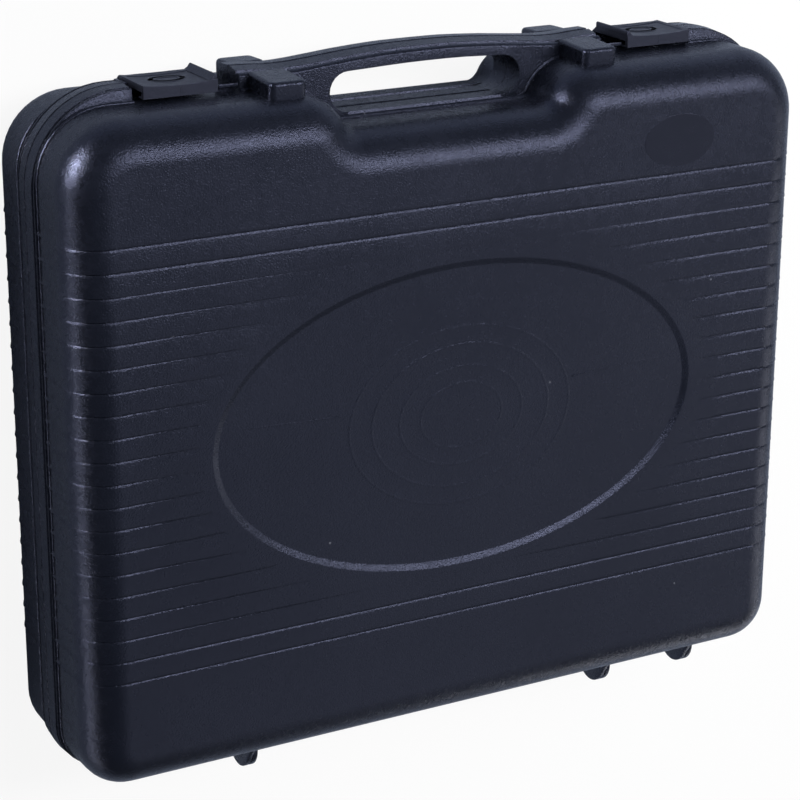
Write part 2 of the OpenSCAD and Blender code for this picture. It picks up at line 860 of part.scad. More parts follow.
lead_d = 2.4;
electrode_d = 5;
electrode_l = 16;
electrode_drop = 22;
electrode_turn = -24.5;
electrode_r = burner_r + 14.3;
electrode_x = burner_x + electrode_r * cos(electrode_turn);
electrode_y = burner_y + electrode_r * sin(electrode_turn);
lead_floor = body_z + sheet + 3;
lead_y = reg_y0 + reg_l + 16;
module igniter_lead() {
    color(lead_red)
        piped([[piezo_x, piezo_y + piezo_l + piezo_end + plate_edge, piezo_z],
            [piezo_x, lead_y, piezo_z], [piezo_x, lead_y, lead_floor],
            [electrode_x, lead_y, lead_floor], [electrode_x, electrode_y, lead_floor],
            [electrode_x, electrode_y, deck_z - electrode_drop - plate_edge]], lead_d);
}

module igniter_electrode() {
    wire_d = 2;
    tip_l = 5;
    color(ceramic_white)
        translate([electrode_x, electrode_y, deck_z - electrode_drop])
            union() {
                cylinder(d = electrode_d, h = electrode_l);
                translate([0, 0, electrode_l - 1])
                    cylinder(d = wire_d, h = electrode_drop - electrode_l + wire_d);
                translate([0, 0, electrode_drop])
                    rotate([0, -90, electrode_turn])
                        cylinder(d = wire_d, h = tip_l);
            }
}

// Cartridge lock.
module lock_lever() {
    tab_t = 9;
    tab_h = 8;
    inner_t = 3;
    inner_h = 18;
    panel_room = 1.2;
    color(rubber_black)
        union() {
            translate([lever_x - lever_w / 2, panel_y - panel_room - tab_t, lever_z - tab_h / 2])
                cube([lever_w, tab_t, tab_h]);
            translate([lever_x - lever_shank_w / 2, panel_y - 2, lever_z - lever_shank_w / 2])
                cube([lever_shank_w, sheet + 4, lever_shank_w]);
            translate([lever_x - lever_w / 2, panel_y + sheet + panel_room / 2,
                    lever_z - inner_h * 2 / 3])
                cube([lever_w, inner_t, inner_h]);
        }
}

yoke_stop = 3;
module cartridge_yoke() {
    y0 = collar_y + yoke_travel + yoke_stop;
    span = 48;
    yoke_t = 2.5;
    slot_w = nipple_d + 8;
    yoke_low = 11.2;
    yoke_high = 8;
    color(steel_grey)
        difference() {
            translate([bay_mid - span / 2, y0, cartridge_z - yoke_low])
                cube([span, yoke_t, yoke_low + yoke_high]);
            translate([bay_mid, y0 - 1, cartridge_z])
                rotate([-90, 0, 0])
                    cylinder(d = slot_w, h = yoke_t + 2);
            translate([bay_mid - slot_w / 2, y0 - 1, cartridge_z])
                cube([slot_w, yoke_t + 2, yoke_high + 1]);
        }
}

module cartridge_cradle() {
    cradle_t = 8;
    cradle_in = 50;
    cradle_trim = 6;
    cradle_w = cartridge_d - cradle_trim;
    cradle_down = 16;
    cartridge_fit = 0.5;
    z0 = body_z + sheet + plate_edge;
    cartridge_end = collar_y + nipple_l + cartridge_l;
    color(steel_grey)
        for (y = [collar_y + cradle_in, cartridge_end - cradle_in - cradle_t])
            translate([bay_mid, y, 0])
                difference() {
                    translate([-cradle_w / 2, 0, z0])
                        cube([cradle_w, cradle_t, cartridge_z - z0 - cradle_down]);
                    translate([0, -1, cartridge_z])
                        rotate([-90, 0, 0])
                            cylinder(d = cartridge_d + 2 * cartridge_fit, h = cradle_t + 2);
                }
}

module heat_shield() {
    z0 = body_z + sheet + plate_edge;
    color(steel_grey)
        difference() {
            translate([shield_x, panel_y + sheet + 2, z0])
                cube([sheet, stove_l - 2 * sheet - 4, deck_z - z0 - plate_edge]);
            translate([shield_x - 1, burner_y, tube_z])
                rotate([0, 90, 0])
                    cylinder(d = jet_d + 0.6, h = sheet + 2);
            translate([shield_x - 1, lead_y, lead_floor])
                rotate([0, 90, 0])
                    cylinder(d = lead_d + 2, h = sheet + 2);
        }
}

door_end = 4;
door_y0 = panel_y + bay_front - door_end;
door_y1 = stove_rear - bay_rear + door_end;
door_half = bay_w / 2 + 1;
door_pin_d = 2.5;
door_pin_fit = 0.1;
door_pin_in = 6;
door_pin_up = 2.2;
door_pin_x = bay_mid + door_half - door_pin_in;
door_pin_z = door_z + door_pin_up;
ear_gap = 0.4;
module cartridge_door() {
    arch_r = (door_half * door_half + door_h * door_h) / (2 * door_h);
    color(steel_black)
        difference() {
            intersection() {
                translate([bay_mid, door_y1, door_z + door_h - arch_r])
                    rotate([90, 0, 0])
                        difference() {
                            cylinder(r = arch_r, h = door_y1 - door_y0);
                            translate([0, 0, sheet])
                                cylinder(r = arch_r - sheet, h = door_y1 - door_y0 - 2 * sheet);
                        }
                translate([bay_mid - door_half - 2, door_y0 - 1, door_z])
                    cube([2 * door_half + 4, door_y1 - door_y0 + 2, door_h + 5]);
            }
            translate([door_pin_x, door_y1 + 1, door_pin_z])
                rotate([90, 0, 0])
                    cylinder(d = door_pin_d + 2 * door_pin_fit, h = door_y1 - door_y0 + 2);
        }
}

// Distance along Y from an end of the door to the far side of its ear.
ear_reach = ear_gap + sheet;
module door_hinge_pins() {
    pin_out = 0.4;
    pin_l = ear_reach + sheet + 1.5;
    color(steel_grey)
        for (y = [door_y0 - ear_reach - pin_out + pin_l, door_y1 + ear_reach + pin_out])
            translate([door_pin_x, y, door_pin_z])
                rotate([90, 0, 0])
                    cylinder(d = door_pin_d, h = pin_l);
}

// Feet and screws.
foot_in = 20;
screw_in = 12;
screw_d = 4;
screw_head = 2;
foot_places = [for (x = [-1, 1], y = [-1, 1])
    [x * (stove_half - foot_in), stove_y + y * (stove_l / 2 - foot_in)]];
module stove_feet() {
    color(rubber_black)
        for (p = foot_places)
            translate([p[0], p[1], floor_z + plate_edge])
                difference() {
                    cylinder(r1 = 7, r2 = 9, h = foot_h - 2 * plate_edge);
                    translate([0, 0, -1])
                        cylinder(d = screw_d + 4, h = screw_head + 1.5);
                    cylinder(d = screw_d, h = foot_h + 1);
                }
}

deck_screws = [for (y = [-1, 1]) [screw_in - stove_half, stove_y + y * (stove_l / 2 - screw_in)]];
module stove_screws() {
    thread_l = 6;
    color(steel_grey) {
        for (p = foot_places)
            translate([p[0], p[1], floor_z + 0.3])
                union() {
                    cylinder(d = screw_d + 3, h = screw_head);
                    cylinder(d = screw_d - 0.2, h = foot_h + sheet + 2);
                }
        for (p = deck_screws)
            translate([p[0], p[1], deck_z + sheet + 2 * plate_edge])
                union() {
                    cylinder(d = screw_d + 3, h = screw_head);
                    translate([0, 0, -thread_l])
                        cylinder(d = screw_d - 0.2, h = thread_l + 1);
                }
    }
}

base_shell();
lid_shell();
latch_left();
latch_right();
hinge_pins();
stove_body();
top_plate();
drip_pan();
pan_support();
burner_head();
burner_cap();
burner_bracket();
mixing_tube();
gas_jet();
gas_pipe();
regulator();
valve_spindle();
control_knob();
dial_plate();
piezo_igniter();
igniter_lead();
igniter_electrode();
lock_lever();
cartridge_yoke();
cartridge_cradle();
heat_shield();
cartridge_door();
door_hinge_pins();
stove_feet();
stove_screws();
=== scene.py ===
import math

import bmesh
import bpy
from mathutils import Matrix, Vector


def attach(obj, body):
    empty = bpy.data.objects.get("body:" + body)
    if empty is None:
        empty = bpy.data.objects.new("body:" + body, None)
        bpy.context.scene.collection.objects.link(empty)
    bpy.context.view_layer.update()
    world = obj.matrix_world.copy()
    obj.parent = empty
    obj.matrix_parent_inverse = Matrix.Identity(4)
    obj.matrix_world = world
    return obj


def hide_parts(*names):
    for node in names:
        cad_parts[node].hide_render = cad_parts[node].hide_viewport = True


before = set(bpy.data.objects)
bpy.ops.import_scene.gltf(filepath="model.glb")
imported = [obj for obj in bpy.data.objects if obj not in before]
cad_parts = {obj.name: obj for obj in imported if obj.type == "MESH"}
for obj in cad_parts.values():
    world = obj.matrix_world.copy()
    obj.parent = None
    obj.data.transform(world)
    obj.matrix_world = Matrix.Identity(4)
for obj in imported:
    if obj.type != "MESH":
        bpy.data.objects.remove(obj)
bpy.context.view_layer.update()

mm = .001
partingZ = 47      # the two shells of the case meet at this height
faceZ = 94         # outer face of the lid
middleY = -5.1     # middle of the case between its handle side and its hinge side


# small helpers, all in millimetres

def setMode(kind):
    bpy.ops.object.mode_set(mode=kind)


def clearSelection():
    if bpy.context.object and bpy.context.object.mode != "OBJECT":
        setMode("OBJECT")
    bpy.ops.object.select_all(action="DESELECT")


def workOn(piece, edit=True):
    clearSelection()
    piece.select_set(True)
    bpy.context.view_layer.objects.active = piece
    if edit:
        setMode("EDIT")


def named(name):
    piece = bpy.context.object
    piece.name = piece.data.name = name
    bpy.ops.object.transform_apply(location=True, rotation=True, scale=True)
    return piece


def newBox(name, low, high, edit=True):
    clearSelection()
    size = [(h - l) * mm for l, h in zip(low, high)]
    middle = [(h + l) / 2 * mm for l, h in zip(low, high)]
    bpy.ops.mesh.primitive_cube_add(size=1, location=middle, scale=size)
    piece = named(name)
    if edit:
        setMode("EDIT")
    return piece


def newRod(name, radius, start, end, vertices):
    # a cylinder between two points
    clearSelection()
    a, b = Vector(start) * mm, Vector(end) * mm
    turn = (b - a).to_track_quat("Z", "Y").to_euler()
    bpy.ops.mesh.primitive_cylinder_add(vertices=vertices, radius=radius * mm, depth=(b - a).length,
                                        location=(a + b) / 2, rotation=turn)
    piece = named(name)
    setMode("EDIT")
    return piece


def editMesh():
    return bmesh.from_edit_mesh(bpy.context.object.data)


def selectAll():
    bpy.ops.mesh.select_all(action="SELECT")


def startPick(kind):
    bpy.ops.mesh.select_mode(type=kind)
    bpy.ops.mesh.select_all(action="DESELECT")
    return editMesh()


def pickVerts(test):
    mesh = startPick("VERT")
    for v in mesh.verts:
        v.select_set(bool(test(v.co / mm)))
    mesh.select_flush_mode()


def pickEdges(test):
    mesh = startPick("EDGE")
    for e in mesh.edges:
        e.select_set(bool(test(e.verts[0].co / mm, e.verts[1].co / mm)))
    mesh.select_flush_mode()


def pickFaces(test):
    mesh = startPick("FACE")
    mesh.normal_update()
    for f in mesh.faces:
        f.select_set(bool(test(f.calc_center_median() / mm, f.normal)))
    mesh.select_flush_mode()


def near(a, b, slack=.02):
    return abs(a - b) < slack


def move(x=0, y=0, z=0):
    bpy.ops.transform.translate(value=(x * mm, y * mm, z * mm))


def extrude(y=0):
    bpy.ops.mesh.extrude_region_move(TRANSFORM_OT_translate={"value": (0, y * mm, 0)})


def resize(factor, centre):
    bpy.ops.transform.resize(value=factor, center_override=[c * mm for c in centre])


def bevel(width, segments):
    bpy.ops.mesh.bevel(offset=width * mm, segments=segments, profile=.5, clamp_overlap=False)


def cut(axis, place):
    # a bisect of the selected faces square to one axis
    point, normal = [0, 0, 0], [0, 0, 0]
    point[axis], normal[axis] = place * mm, 1
    bpy.ops.mesh.bisect(plane_co=point, plane_no=normal, use_fill=False)


def cutAll(axis, places):
    for place in places:
        bpy.ops.mesh.select_mode(type="FACE")
        selectAll()
        cut(axis, place)


def upright(a, b):
    # an edge that runs along Z
    return near(a.x, b.x) and near(a.y, b.y) and abs(a.z - b.z) > .5


def merge(distance):
    bpy.ops.mesh.remove_doubles(threshold=distance * mm)


def tidyMesh():
    selectAll()
    merge(.02)
    bpy.ops.mesh.normals_make_consistent(inside=False)
    bpy.ops.mesh.select_all(action="DESELECT")


def smooth(piece, degrees):
    workOn(piece, edit=False)
    bpy.ops.object.shade_smooth_by_angle(angle=math.radians(degrees))
    return piece


def joined(name, pieces):
    clearSelection()
    for piece in pieces:
        piece.select_set(True)
    bpy.context.view_layer.objects.active = pieces[0]
    bpy.ops.object.join()
    pieces[0].name = pieces[0].data.name = name
    return pieces[0]


def copyOf(piece, name):
    workOn(piece, edit=False)
    bpy.ops.object.duplicate()
    copy = bpy.context.object
    copy.name = copy.data.name = name
    return copy


def flipped(piece, name, axis, centre=0):
    # a mirror copy with its faces turned outwards again
    copy = copyOf(piece, name)
    setMode("EDIT")
    selectAll()
    factor, middle = [1, 1, 1], [0, 0, 0]
    factor[axis], middle[axis] = -1, centre
    resize(factor, middle)
    bpy.ops.mesh.flip_normals()
    setMode("OBJECT")
    return copy


def toBase(piece, name, keep=True):
    # the same piece on the base's side of the parting plane
    copy = flipped(piece, name, 2, partingZ)
    if not keep:
        bpy.data.objects.remove(piece)
    return copy


def newPlate(name, points, axis, low, high, edit=True):
    # an outline drawn point by point, then extruded along one axis; points are (y, z), (x, z) or (x, y)
    def place(point, along):
        rest = list(point)
        rest.insert(axis, along)
        return Vector(rest)

    clearSelection()
    bpy.ops.mesh.primitive_plane_add(size=.001)
    piece = named(name)
    setMode("EDIT")
    selectAll()
    bpy.ops.mesh.merge(type="CENTER")
    bpy.ops.mesh.select_mode(type="VERT")
    selectAll()
    last = place(points[0], low)
    move(*last)
    for point in points[1:]:
        here = place(point, low)
        bpy.ops.mesh.extrude_region_move(TRANSFORM_OT_translate={"value": (here - last) * mm})
        last = here
    selectAll()
    bpy.ops.mesh.edge_face_add()
    push = [0, 0, 0]
    push[axis] = (high - low) * mm
    bpy.ops.mesh.select_mode(type="FACE")
    selectAll()
    bpy.ops.mesh.extrude_region_move(TRANSFORM_OT_translate={"value": push})
    selectAll()
    bpy.ops.mesh.normals_make_consistent(inside=False)
    if not edit:
        setMode("OBJECT")
    return piece


def leave(degrees):
    # out of edit mode with smooth shading
    setMode("OBJECT")
    return smooth(bpy.context.object, degrees)


def shifted(piece, name, x):
    copy = copyOf(piece, name)
    setMode("EDIT")
    selectAll()
    move(x)
    setMode("OBJECT")
    return copy


def modifier(piece, kind, **values):
    workOn(piece, edit=False)
    made = piece.modifiers.new(kind.title(), kind)
    for key, value in values.items():
        setattr(made, key, value)
    bpy.ops.object.modifier_apply(modifier=made.name)
    return piece


def rounded(piece, width, segments, degrees):
    # every edge sharper than an angle is rounded
    return modifier(piece, "BEVEL", width=width * mm, segments=segments, limit_method="ANGLE",
                    angle_limit=math.radians(degrees))


def cutOut(piece, tool):
    modifier(piece, "BOOLEAN", object=tool, operation="DIFFERENCE", solver="EXACT")
    bpy.data.objects.remove(tool)


# case shell

shellSize = {
    "halfWidth": 183.6, "front": -155.6, "rear": 145.4, "bandHeight": 10, "lean": .7, "edgeRadius": 18.6,
    "edgeSteps": 12, "frontCorner": 31, "rearCorner": 22, "recessFloor": -139.6, "recessFoot": 50.53,
    "shoulder": 57.85, "footRound": 4, "shoulderRound": 13.5, "wall": 4, "frontParts": 5,
}
ribSize = {
    "first": -103.5, "pitch": 10.25, "count": 20, "lip": -2.1, "crest": -.85, "bottom": -.3, "end": .85,
    "depth": .65, "rise": .75, "ovalWidth": 132, "ovalLength": 82.5, "ovalMiddle": -6.1, "tip": 1.2,
    "foot": 9, "slack": .03,
    # how much of the lip's rise is left from one height to the next
    "fade": [(56, 72, 1), (72, 78, .8), (78, 82, .6), (82, 86, .4), (86, 89, .25), (89, 91.5, .12),
             (91.5, 93.4, .05)],
}


def shellSkin():
    s = shellSize
    top = partingZ + s["bandHeight"]
    half, front = s["halfWidth"], s["front"]
    shell = newBox("lid_case", (-half, front, partingZ), (half, s["rear"], top))
    # handle recess in the front wall
    pickEdges(lambda a, b: near(a.y, front) and near(b.y, front) and near(a.z, b.z))
    bpy.ops.mesh.subdivide(number_cuts=s["frontParts"] - 1)
    step = 2 * half / s["frontParts"]
    for side in (-1, 1):
        pickVerts(lambda v: near(v.x, side * 1.5 * step) and near(v.y, front))
        move(x=side * (s["shoulder"] - 1.5 * step))
        pickVerts(lambda v: near(v.x, side * .5 * step) and near(v.y, front))
        move(x=side * (s["recessFoot"] - .5 * step), y=s["recessFloor"] - front)
    # upright corners: place, radius and steps
    corners = [
        (half, front, s["frontCorner"], 12),
        (half, s["rear"], s["rearCorner"], 10),
        (s["shoulder"], front, s["shoulderRound"], 10),
        (s["recessFoot"], s["recessFloor"], s["footRound"], 8),
    ]
    for x, y, width, segments in corners:
        pickEdges(lambda a, b: upright(a, b) and near(abs(a.x), x) and near(a.y, y))
        bevel(width, segments)
    selectAll()
    merge(.05)
    # wall that leans in, then the rounding to the outer face
    pickFaces(lambda c, n: n.z > .9 and near(c.z, top))
    bpy.ops.mesh.inset(thickness=s["lean"] * mm, depth=(faceZ - top) * mm)
    pickEdges(lambda a, b: near(a.z, faceZ) and near(b.z, faceZ))
    bevel(s["edgeRadius"], s["edgeSteps"])
    pickVerts(lambda v: near(v.z, faceZ))
    merge(.4)
    pickFaces(lambda c, n: n.z < -.9 and near(c.z, partingZ))
    bpy.ops.mesh.delete(type="FACE")
    tidyMesh()
    setMode("OBJECT")
    return shell


def ribEnd(y):
    # half width at which the ribs stop beside the oval, at a distance along the face
    s = ribSize
    t = (y - s["ovalMiddle"]) / s["ovalLength"]
    return s["ovalWidth"] * math.sqrt(1 - t * t) if abs(t) < 1 else 0


def addRibs(shell):
    s = ribSize
    workOn(shell)
    rows = [s["first"] + s["pitch"] * i for i in range(s["count"])]

    def outer(f):
        return f.material_index == 0

    for y in rows:
        for shift in (s["lip"], s["crest"], s["bottom"], s["end"]):
            for f in startPick("FACE").faces:
                f.select_set(outer(f))
            cut(1, y + shift)
    # the parts of a rib that cross the flat face end in front of the oval
    for y in rows:
        end = ribEnd(y)
        if not end:
            continue
        low, high = y + s["crest"] - s["slack"], y + s["end"] + s["slack"]
        for place in (end, end - s["tip"]):
            for side in (-1, 1):
                pickFaces(lambda c, n: n.z > .9 and c.z > faceZ - .1 and low < c.y < high)
                cut(0, side * place)
    skin = {v.index for v in editMesh().verts if any(outer(f) for f in v.link_faces)}

    def isBottom(v, index):
        for y in rows:
            if near(v.y, y + s["bottom"], s["slack"]):
                onRib = v.z < faceZ - .1 or abs(v.x) > ribEnd(y) - .1
                return index in skin and v.z > partingZ + s["foot"] and onRib
        return False

    mesh = startPick("VERT")
    for v in mesh.verts:
        v.select_set(isBottom(v.co / mm, v.index))
    mesh.select_flush_mode()
    bpy.ops.transform.shrink_fatten(value=-s["depth"] * mm)
    # a soft lip above each rib on the side walls, fading out towards the face
    for low, high, share in s["fade"]:
        mesh = startPick("VERT")
        for v in mesh.verts:
            c = v.co / mm
            onCrest = any(near(c.y, y + s["crest"], s["slack"]) for y in rows)
            v.select_set(v.index in skin and low <= c.z < high and onCrest)
        mesh.select_flush_mode()
        bpy.ops.transform.shrink_fatten(value=s["rise"] * share * mm)
    setMode("OBJECT")


ovalSize = {
    "width": 126.5, "length": 75.5, "steps": 120, "thick": 3.6, "cutReach": (-10, 5),
    "wall": [(3.2, 0), (.4, .08), (1.35, .57), (1.35, .57), (.4, .08)],
    "rings": [57.8, 46.6, 32.7, 22], "ringShape": 1.35, "ringRise": .24, "ringSide": .6, "ringTop": .9,
}
ovalDepth = sum(drop for width, drop in ovalSize["wall"])


def ovalDisc(name, low, high):
    s = ovalSize
    clearSelection()
    bpy.ops.mesh.primitive_cylinder_add(
        vertices=s["steps"], radius=1, depth=(high - low) * mm,
        location=(0, middleY * mm, (low + high) / 2 * mm), scale=(s["width"] * mm, s["length"] * mm, 1))
    return named(name)


def makeOval():
    # a disc that is inset ring by ring towards its middle
    s = ovalSize
    disc = ovalDisc("lid_oval", faceZ - s["thick"], faceZ)
    setMode("EDIT")
    pickFaces(lambda c, n: n.z > .9)
    a, b = s["width"], s["length"]

    def ring(width, drop=0):
        nonlocal a, b
        extrude()
        resize(((a - width) / a, (b - width) / b, 1), (0, middleY, 0))
        move(z=-drop)
        a, b = a - width, b - width

    for width, drop in s["wall"]:
        ring(width, drop)
    for half in s["rings"]:
        # thin ridges, rounder than the oval
        extrude()
        resize((half / a, half / s["ringShape"] / b, 1), (0, middleY, 0))
        a, b = half, half / s["ringShape"]
        ring(s["ringSide"], -s["ringRise"])
        ring(s["ringTop"])
        ring(s["ringSide"], s["ringRise"])
    setMode("OBJECT")
    return disc


spokeSize = {
    "from": 58.5, "to": 112, "y": -14.2, "half": .35, "slope": -.045, "high": .3, "round": (.18, 2, 40),
}
patchSize = {
    "centre": (-112.5, -119.5), "half": (19, 12), "high": .12, "under": 1, "steps": 64, "round": (.1, 2),
}


def makeSpokes(name):
    # fine raised lines on both sides of the rings
    s = spokeSize
    floor = faceZ - ovalDepth
    spoke = newBox("spoke", (s["from"], s["y"] - s["half"], floor - s["high"]),
                   (s["to"], s["y"] + s["half"], floor + s["high"]))
    pickVerts(lambda v: v.x > s["to"] - 1)
    move(y=s["slope"] * (s["to"] - s["from"]))
    pickVerts(lambda v: v.x > s["to"] - 1 and v.z > floor)
    move(z=-s["high"])
    leave(30)
    return rounded(joined(name, [flipped(spoke, "spoke", 0), spoke]), *s["round"])


def makePatch():
    # plain smooth oval near one corner of the lid
    p = patchSize
    (x, y), top = p["centre"], faceZ + p["high"]
    newRod("lid_smooth_patch", 1, (x, y, faceZ - p["under"]), (x, y, top), p["steps"])
    selectAll()
    resize((*p["half"], 1), (x, y, 0))
    pickEdges(lambda a, b: near(a.z, top) and near(b.z, a.z))
    bevel(*p["round"])
    return leave(40)


print("case shell")
lidCase = shellSkin()
# two slots tell the outer skin from the inner one while the ribs are made
for name in ("outer_skin", "inner_skin"):
    lidCase.data.materials.append(bpy.data.materials.new(name))
modifier(lidCase, "SOLIDIFY", thickness=shellSize["wall"] * mm, offset=-1, use_even_offset=True,
         material_offset=1, material_offset_rim=1)
addRibs(lidCase)
cutOut(lidCase, ovalDisc("oval_tool", *[faceZ + height for height in ovalSize["cutReach"]]))
lidOval = makeOval()
lidSpokes = makeSpokes("lid_oval_lines")
lidPatch = makePatch()
baseSpokes = toBase(lidSpokes, "base_oval_lines")
smooth(lidCase, 50)
smooth(lidOval, 30)
baseCase = toBase(lidCase, "base_case")
baseOval = toBase(lidOval, "base_oval")

for piece, node, body in ((lidCase, "lid_shell", "lid"), (baseCase, "base_shell", "base")):
    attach(piece, body)
    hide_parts(node)
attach(lidOval, "lid")
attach(baseOval, "base")

# rims where the shells meet
print("rims")
rimSize = {
    "halfWidth": 185, "front": -161.6, "rear": 146.8, "frontCorner": 40, "rearCorner": 22,
    "cornerSteps": (14, 10), "slack": .6, "inset": 2.2, "pull": .873, "pullFrom": -121.6, "mouth": 139.6,
    "rows": [(.12, .5), (.6, 0), (7.1, .35), (7.5, 1.15), (8.5, 1.15), (9, .5), (9.7, .5), (10, .9)],
}
rimFootSize = {
    "halfWidth": 184.2, "front": -156.4, "rear": 146, "frontCorner": 31.6, "rearCorner": 22.6,
    "cornerSteps": (14, 10), "slack": .6, "inset": 1.8, "pull": 1, "pullFrom": -121.6, "mouth": 139.6,
    "rows": [(10.9, .6), (11.15, .15), (11.5, 0), (11.9, .15), (12.2, .6)],
}


def makeRim(name, s):
    # a hollow band round the shell, its section given as height and drop
    low, high = partingZ + s["rows"][0][0], partingZ + s["rows"][-1][0]
    newBox(name, (-s["halfWidth"], s["front"], low), (s["halfWidth"], s["rear"], high))
    pickEdges(lambda a, b: upright(a, b) and a.y < 0)
    bevel(s["frontCorner"], s["cornerSteps"][0])
    pickEdges(lambda a, b: upright(a, b) and near(a.y, s["rear"]))
    bevel(s["rearCorner"], s["cornerSteps"][1])
    for side in (1, -1):
        pickFaces(lambda c, n: n.z * side > .9)
        bpy.ops.mesh.inset(thickness=s["inset"] * mm, depth=0)
        inner = {v.index for v in editMesh().verts if v.select}
        for v in startPick("VERT").verts:
            v.select_set(v.index in inner and v.co.y / mm < s["pullFrom"])
        resize((1, s["pull"], 1), (0, s["pullFrom"], 0))
        pickFaces(lambda c, n: n.z * side > .9 and abs(c.x) < 5 and abs(c.y) < 60)
        bpy.ops.mesh.delete(type="FACE")
    cutAll(2, [partingZ + height for height, drop in s["rows"][1:-1]])
    halfLength, middle = (s["rear"] - s["front"]) / 2, (s["rear"] + s["front"]) / 2
    for height, drop in s["rows"]:
        pickVerts(lambda v: near(v.z, partingZ + height, .03) and onOutline(v, s))
        resize((1 - drop / s["halfWidth"], 1 - drop / halfLength, 1), (0, middle, 0))
    for e in startPick("EDGE").edges:
        e.select_set(e.is_boundary)
    bpy.ops.mesh.bridge_edge_loops()
    # mouth for the handle and the latches
    cutAll(0, (-s["mouth"], s["mouth"]))
    pickFaces(lambda c, n: abs(c.x) < s["mouth"] and c.y < 0)
    bpy.ops.mesh.delete(type="FACE")
    for side in (-1, 1):
        for e in startPick("EDGE").edges:
            e.select_set(e.is_boundary and e.verts[0].co.x * side > 0)
        bpy.ops.mesh.edge_face_add()
    tidyMesh()
    return leave(38)


def onOutline(v, s):
    # on the outer outline of the band, not the inner one
    x, y = abs(v.x), v.y
    for corner, end, way in ((s["frontCorner"], s["front"], -1), (s["rearCorner"], s["rear"], 1)):
        cx, cy = s["halfWidth"] - corner, end - way * corner
        if x > cx and (y - cy) * way > 0:
            return abs(math.hypot(x - cx, y - cy) - corner) < s["slack"]
    return x > s["halfWidth"] - s["slack"] or not s["front"] + s["slack"] <= y <= s["rear"] - s["slack"]


lidRim = makeRim("lid_rim", rimSize)
baseRim = toBase(lidRim, "base_rim")
lidRimFoot = makeRim("lid_rim_foot", rimFootSize)
baseRimFoot = toBase(lidRimFoot, "base_rim_foot")

# handle
print("handle")
handleSize = {
    "half": 91, "blank": (-160, -150), "columns": 44, "round": (.28, 2, 42),
    "top": [(0, -167.5), (15, -167.4), (25, -166.9), (37, -166.1), (50, -164.9), (60, -164), (68, -163.6),
            (75, -163.7), (82, -164.3), (91, -164.6)],
    "foot": [(0, -138.6), (46, -138.6), (49.5, -138.9), (52.6, -141), (54.2, -143.6), (56, -146.6),
             (59, -149.8), (63, -152.2), (67, -153.8), (72, -154.5), (91, -154.6)],
    "hole": [(-39, -130), (-39, -141.1)], "holeEnd": (39, -150.1, 9), "holeReach": (-5, 20),
    "holeTop": [(-30, -159.5), (-20, -160), (-10, -160.2), (0, -160.2), (10, -160.1), (20, -159.8),
                (30, -159.4)],
    # height over the parting plane and drop of the grip's section
    "lidRows": [(.12, 1.2), (.8, .25), (1.3, 0), (7.4, 1), (7.8, 2.3), (8.8, 2.4), (9.3, 1.7), (10.2, 1.8),
                (11, 2.4), (11.5, 3.2)],
    "baseRows": [(.12, 1.2), (.8, .25), (1.3, 0), (7.9, .3), (8.2, 1.45), (9.3, 1.45), (9.9, 1), (10.9, 1),
                 (11.5, 1.6)],
    "beadOut": 1.1, "beadRows": (11.1, 12.3), "beadRound": (.4, 3, 50),
}
# the mouth of the recess: middle and radius of its two arcs, and how far they turn
mouthSize = {"outer": (71.4, -134.5, 21.1), "inner": (46.5, -145.9, 6.27), "turn": 65.45}


def along(table, x):
    # value at a distance from the middle, straight between the places of a table
    x = abs(x)
    for (x0, y0), (x1, y1) in zip(table, table[1:]):
        if x <= x1:
            return y0 + (y1 - y0) * (x - x0) / (x1 - x0)
    return table[-1][1]


def arcPoints(cx, cy, radius, start, end, count):
    angles = [math.radians(start + (end - start) * i / count) for i in range(count + 1)]
    return [(cx + radius * math.cos(a), cy + radius * math.sin(a)) for a in angles]


def makeHandle(name, rows):
    h = handleSize
    front, rear = h["blank"]
    low, high = partingZ + rows[0][0], partingZ + rows[-1][0]
    plate = newBox(name, (-h["half"], front, low), (h["half"], rear, high))
    step = 2 * h["half"] / h["columns"]
    columns = [-h["half"] + step * i for i in range(h["columns"] + 1)]
    cutAll(0, columns[1:-1])
    for x in columns:
        pickVerts(lambda v: near(v.x, x) and near(v.y, front))
        move(y=along(h["top"], x) - front)
        pickVerts(lambda v: near(v.x, x) and near(v.y, rear))
        move(y=along(h["foot"], x) - rear)
    cutAll(2, [partingZ + height for height, drop in rows[1:-1]])
    for height, drop in rows:
        pickVerts(lambda v: near(v.z, partingZ + height) and near(v.y, along(h["top"], v.x), .05))
        move(y=drop)
    setMode("OBJECT")
    cx, cy, radius = h["holeEnd"]
    outline = h["hole"] + arcPoints(-cx, cy, radius, 90, 270, 12)[1:] + h["holeTop"]
    outline += arcPoints(cx, cy, radius, -90, 90, 12) + [(cx, h["hole"][0][1])]
    low, high = h["holeReach"]
    cutOut(plate, newPlate("hole_tool", outline, 2, partingZ + low, partingZ + high, edit=False))
    return smooth(rounded(plate, *h["round"]), 35)


def makeHandleBead(name):
    # thin raised line where the handle meets the shell, on both sides of the recess
    h, m = handleSize, mouthSize
    cx, cy, radius = m["outer"]
    outer = arcPoints(cx, cy, radius + h["beadOut"], 270, 270 - m["turn"], 12)
    cx, cy, radius = m["inner"]
    inner = arcPoints(cx, cy, radius - h["beadOut"], 90 - m["turn"], 90, 6)
    edge = [(h["half"], outer[0][1])] + outer + inner[1:]
    inside = [point for point in h["foot"] if point[0] > 0]
    low, high = h["beadRows"]
    bead = newPlate(name, edge + inside, 2, partingZ + low, partingZ + high, edit=False)
    rounded(bead, *h["beadRound"])
    return smooth(joined(name, [bead, flipped(bead, "other", 0)]), 40)


floorSize = {
    "half": 50.8, "top": -141.1, "low": -138.2,
    "rows": [(.12, 1.3), (1, .3), (1.7, 0), (10.8, .1), (11.2, 1.5), (14.7, 1.5), (15, .3), (15.4, .2),
             (16, .8)],
}


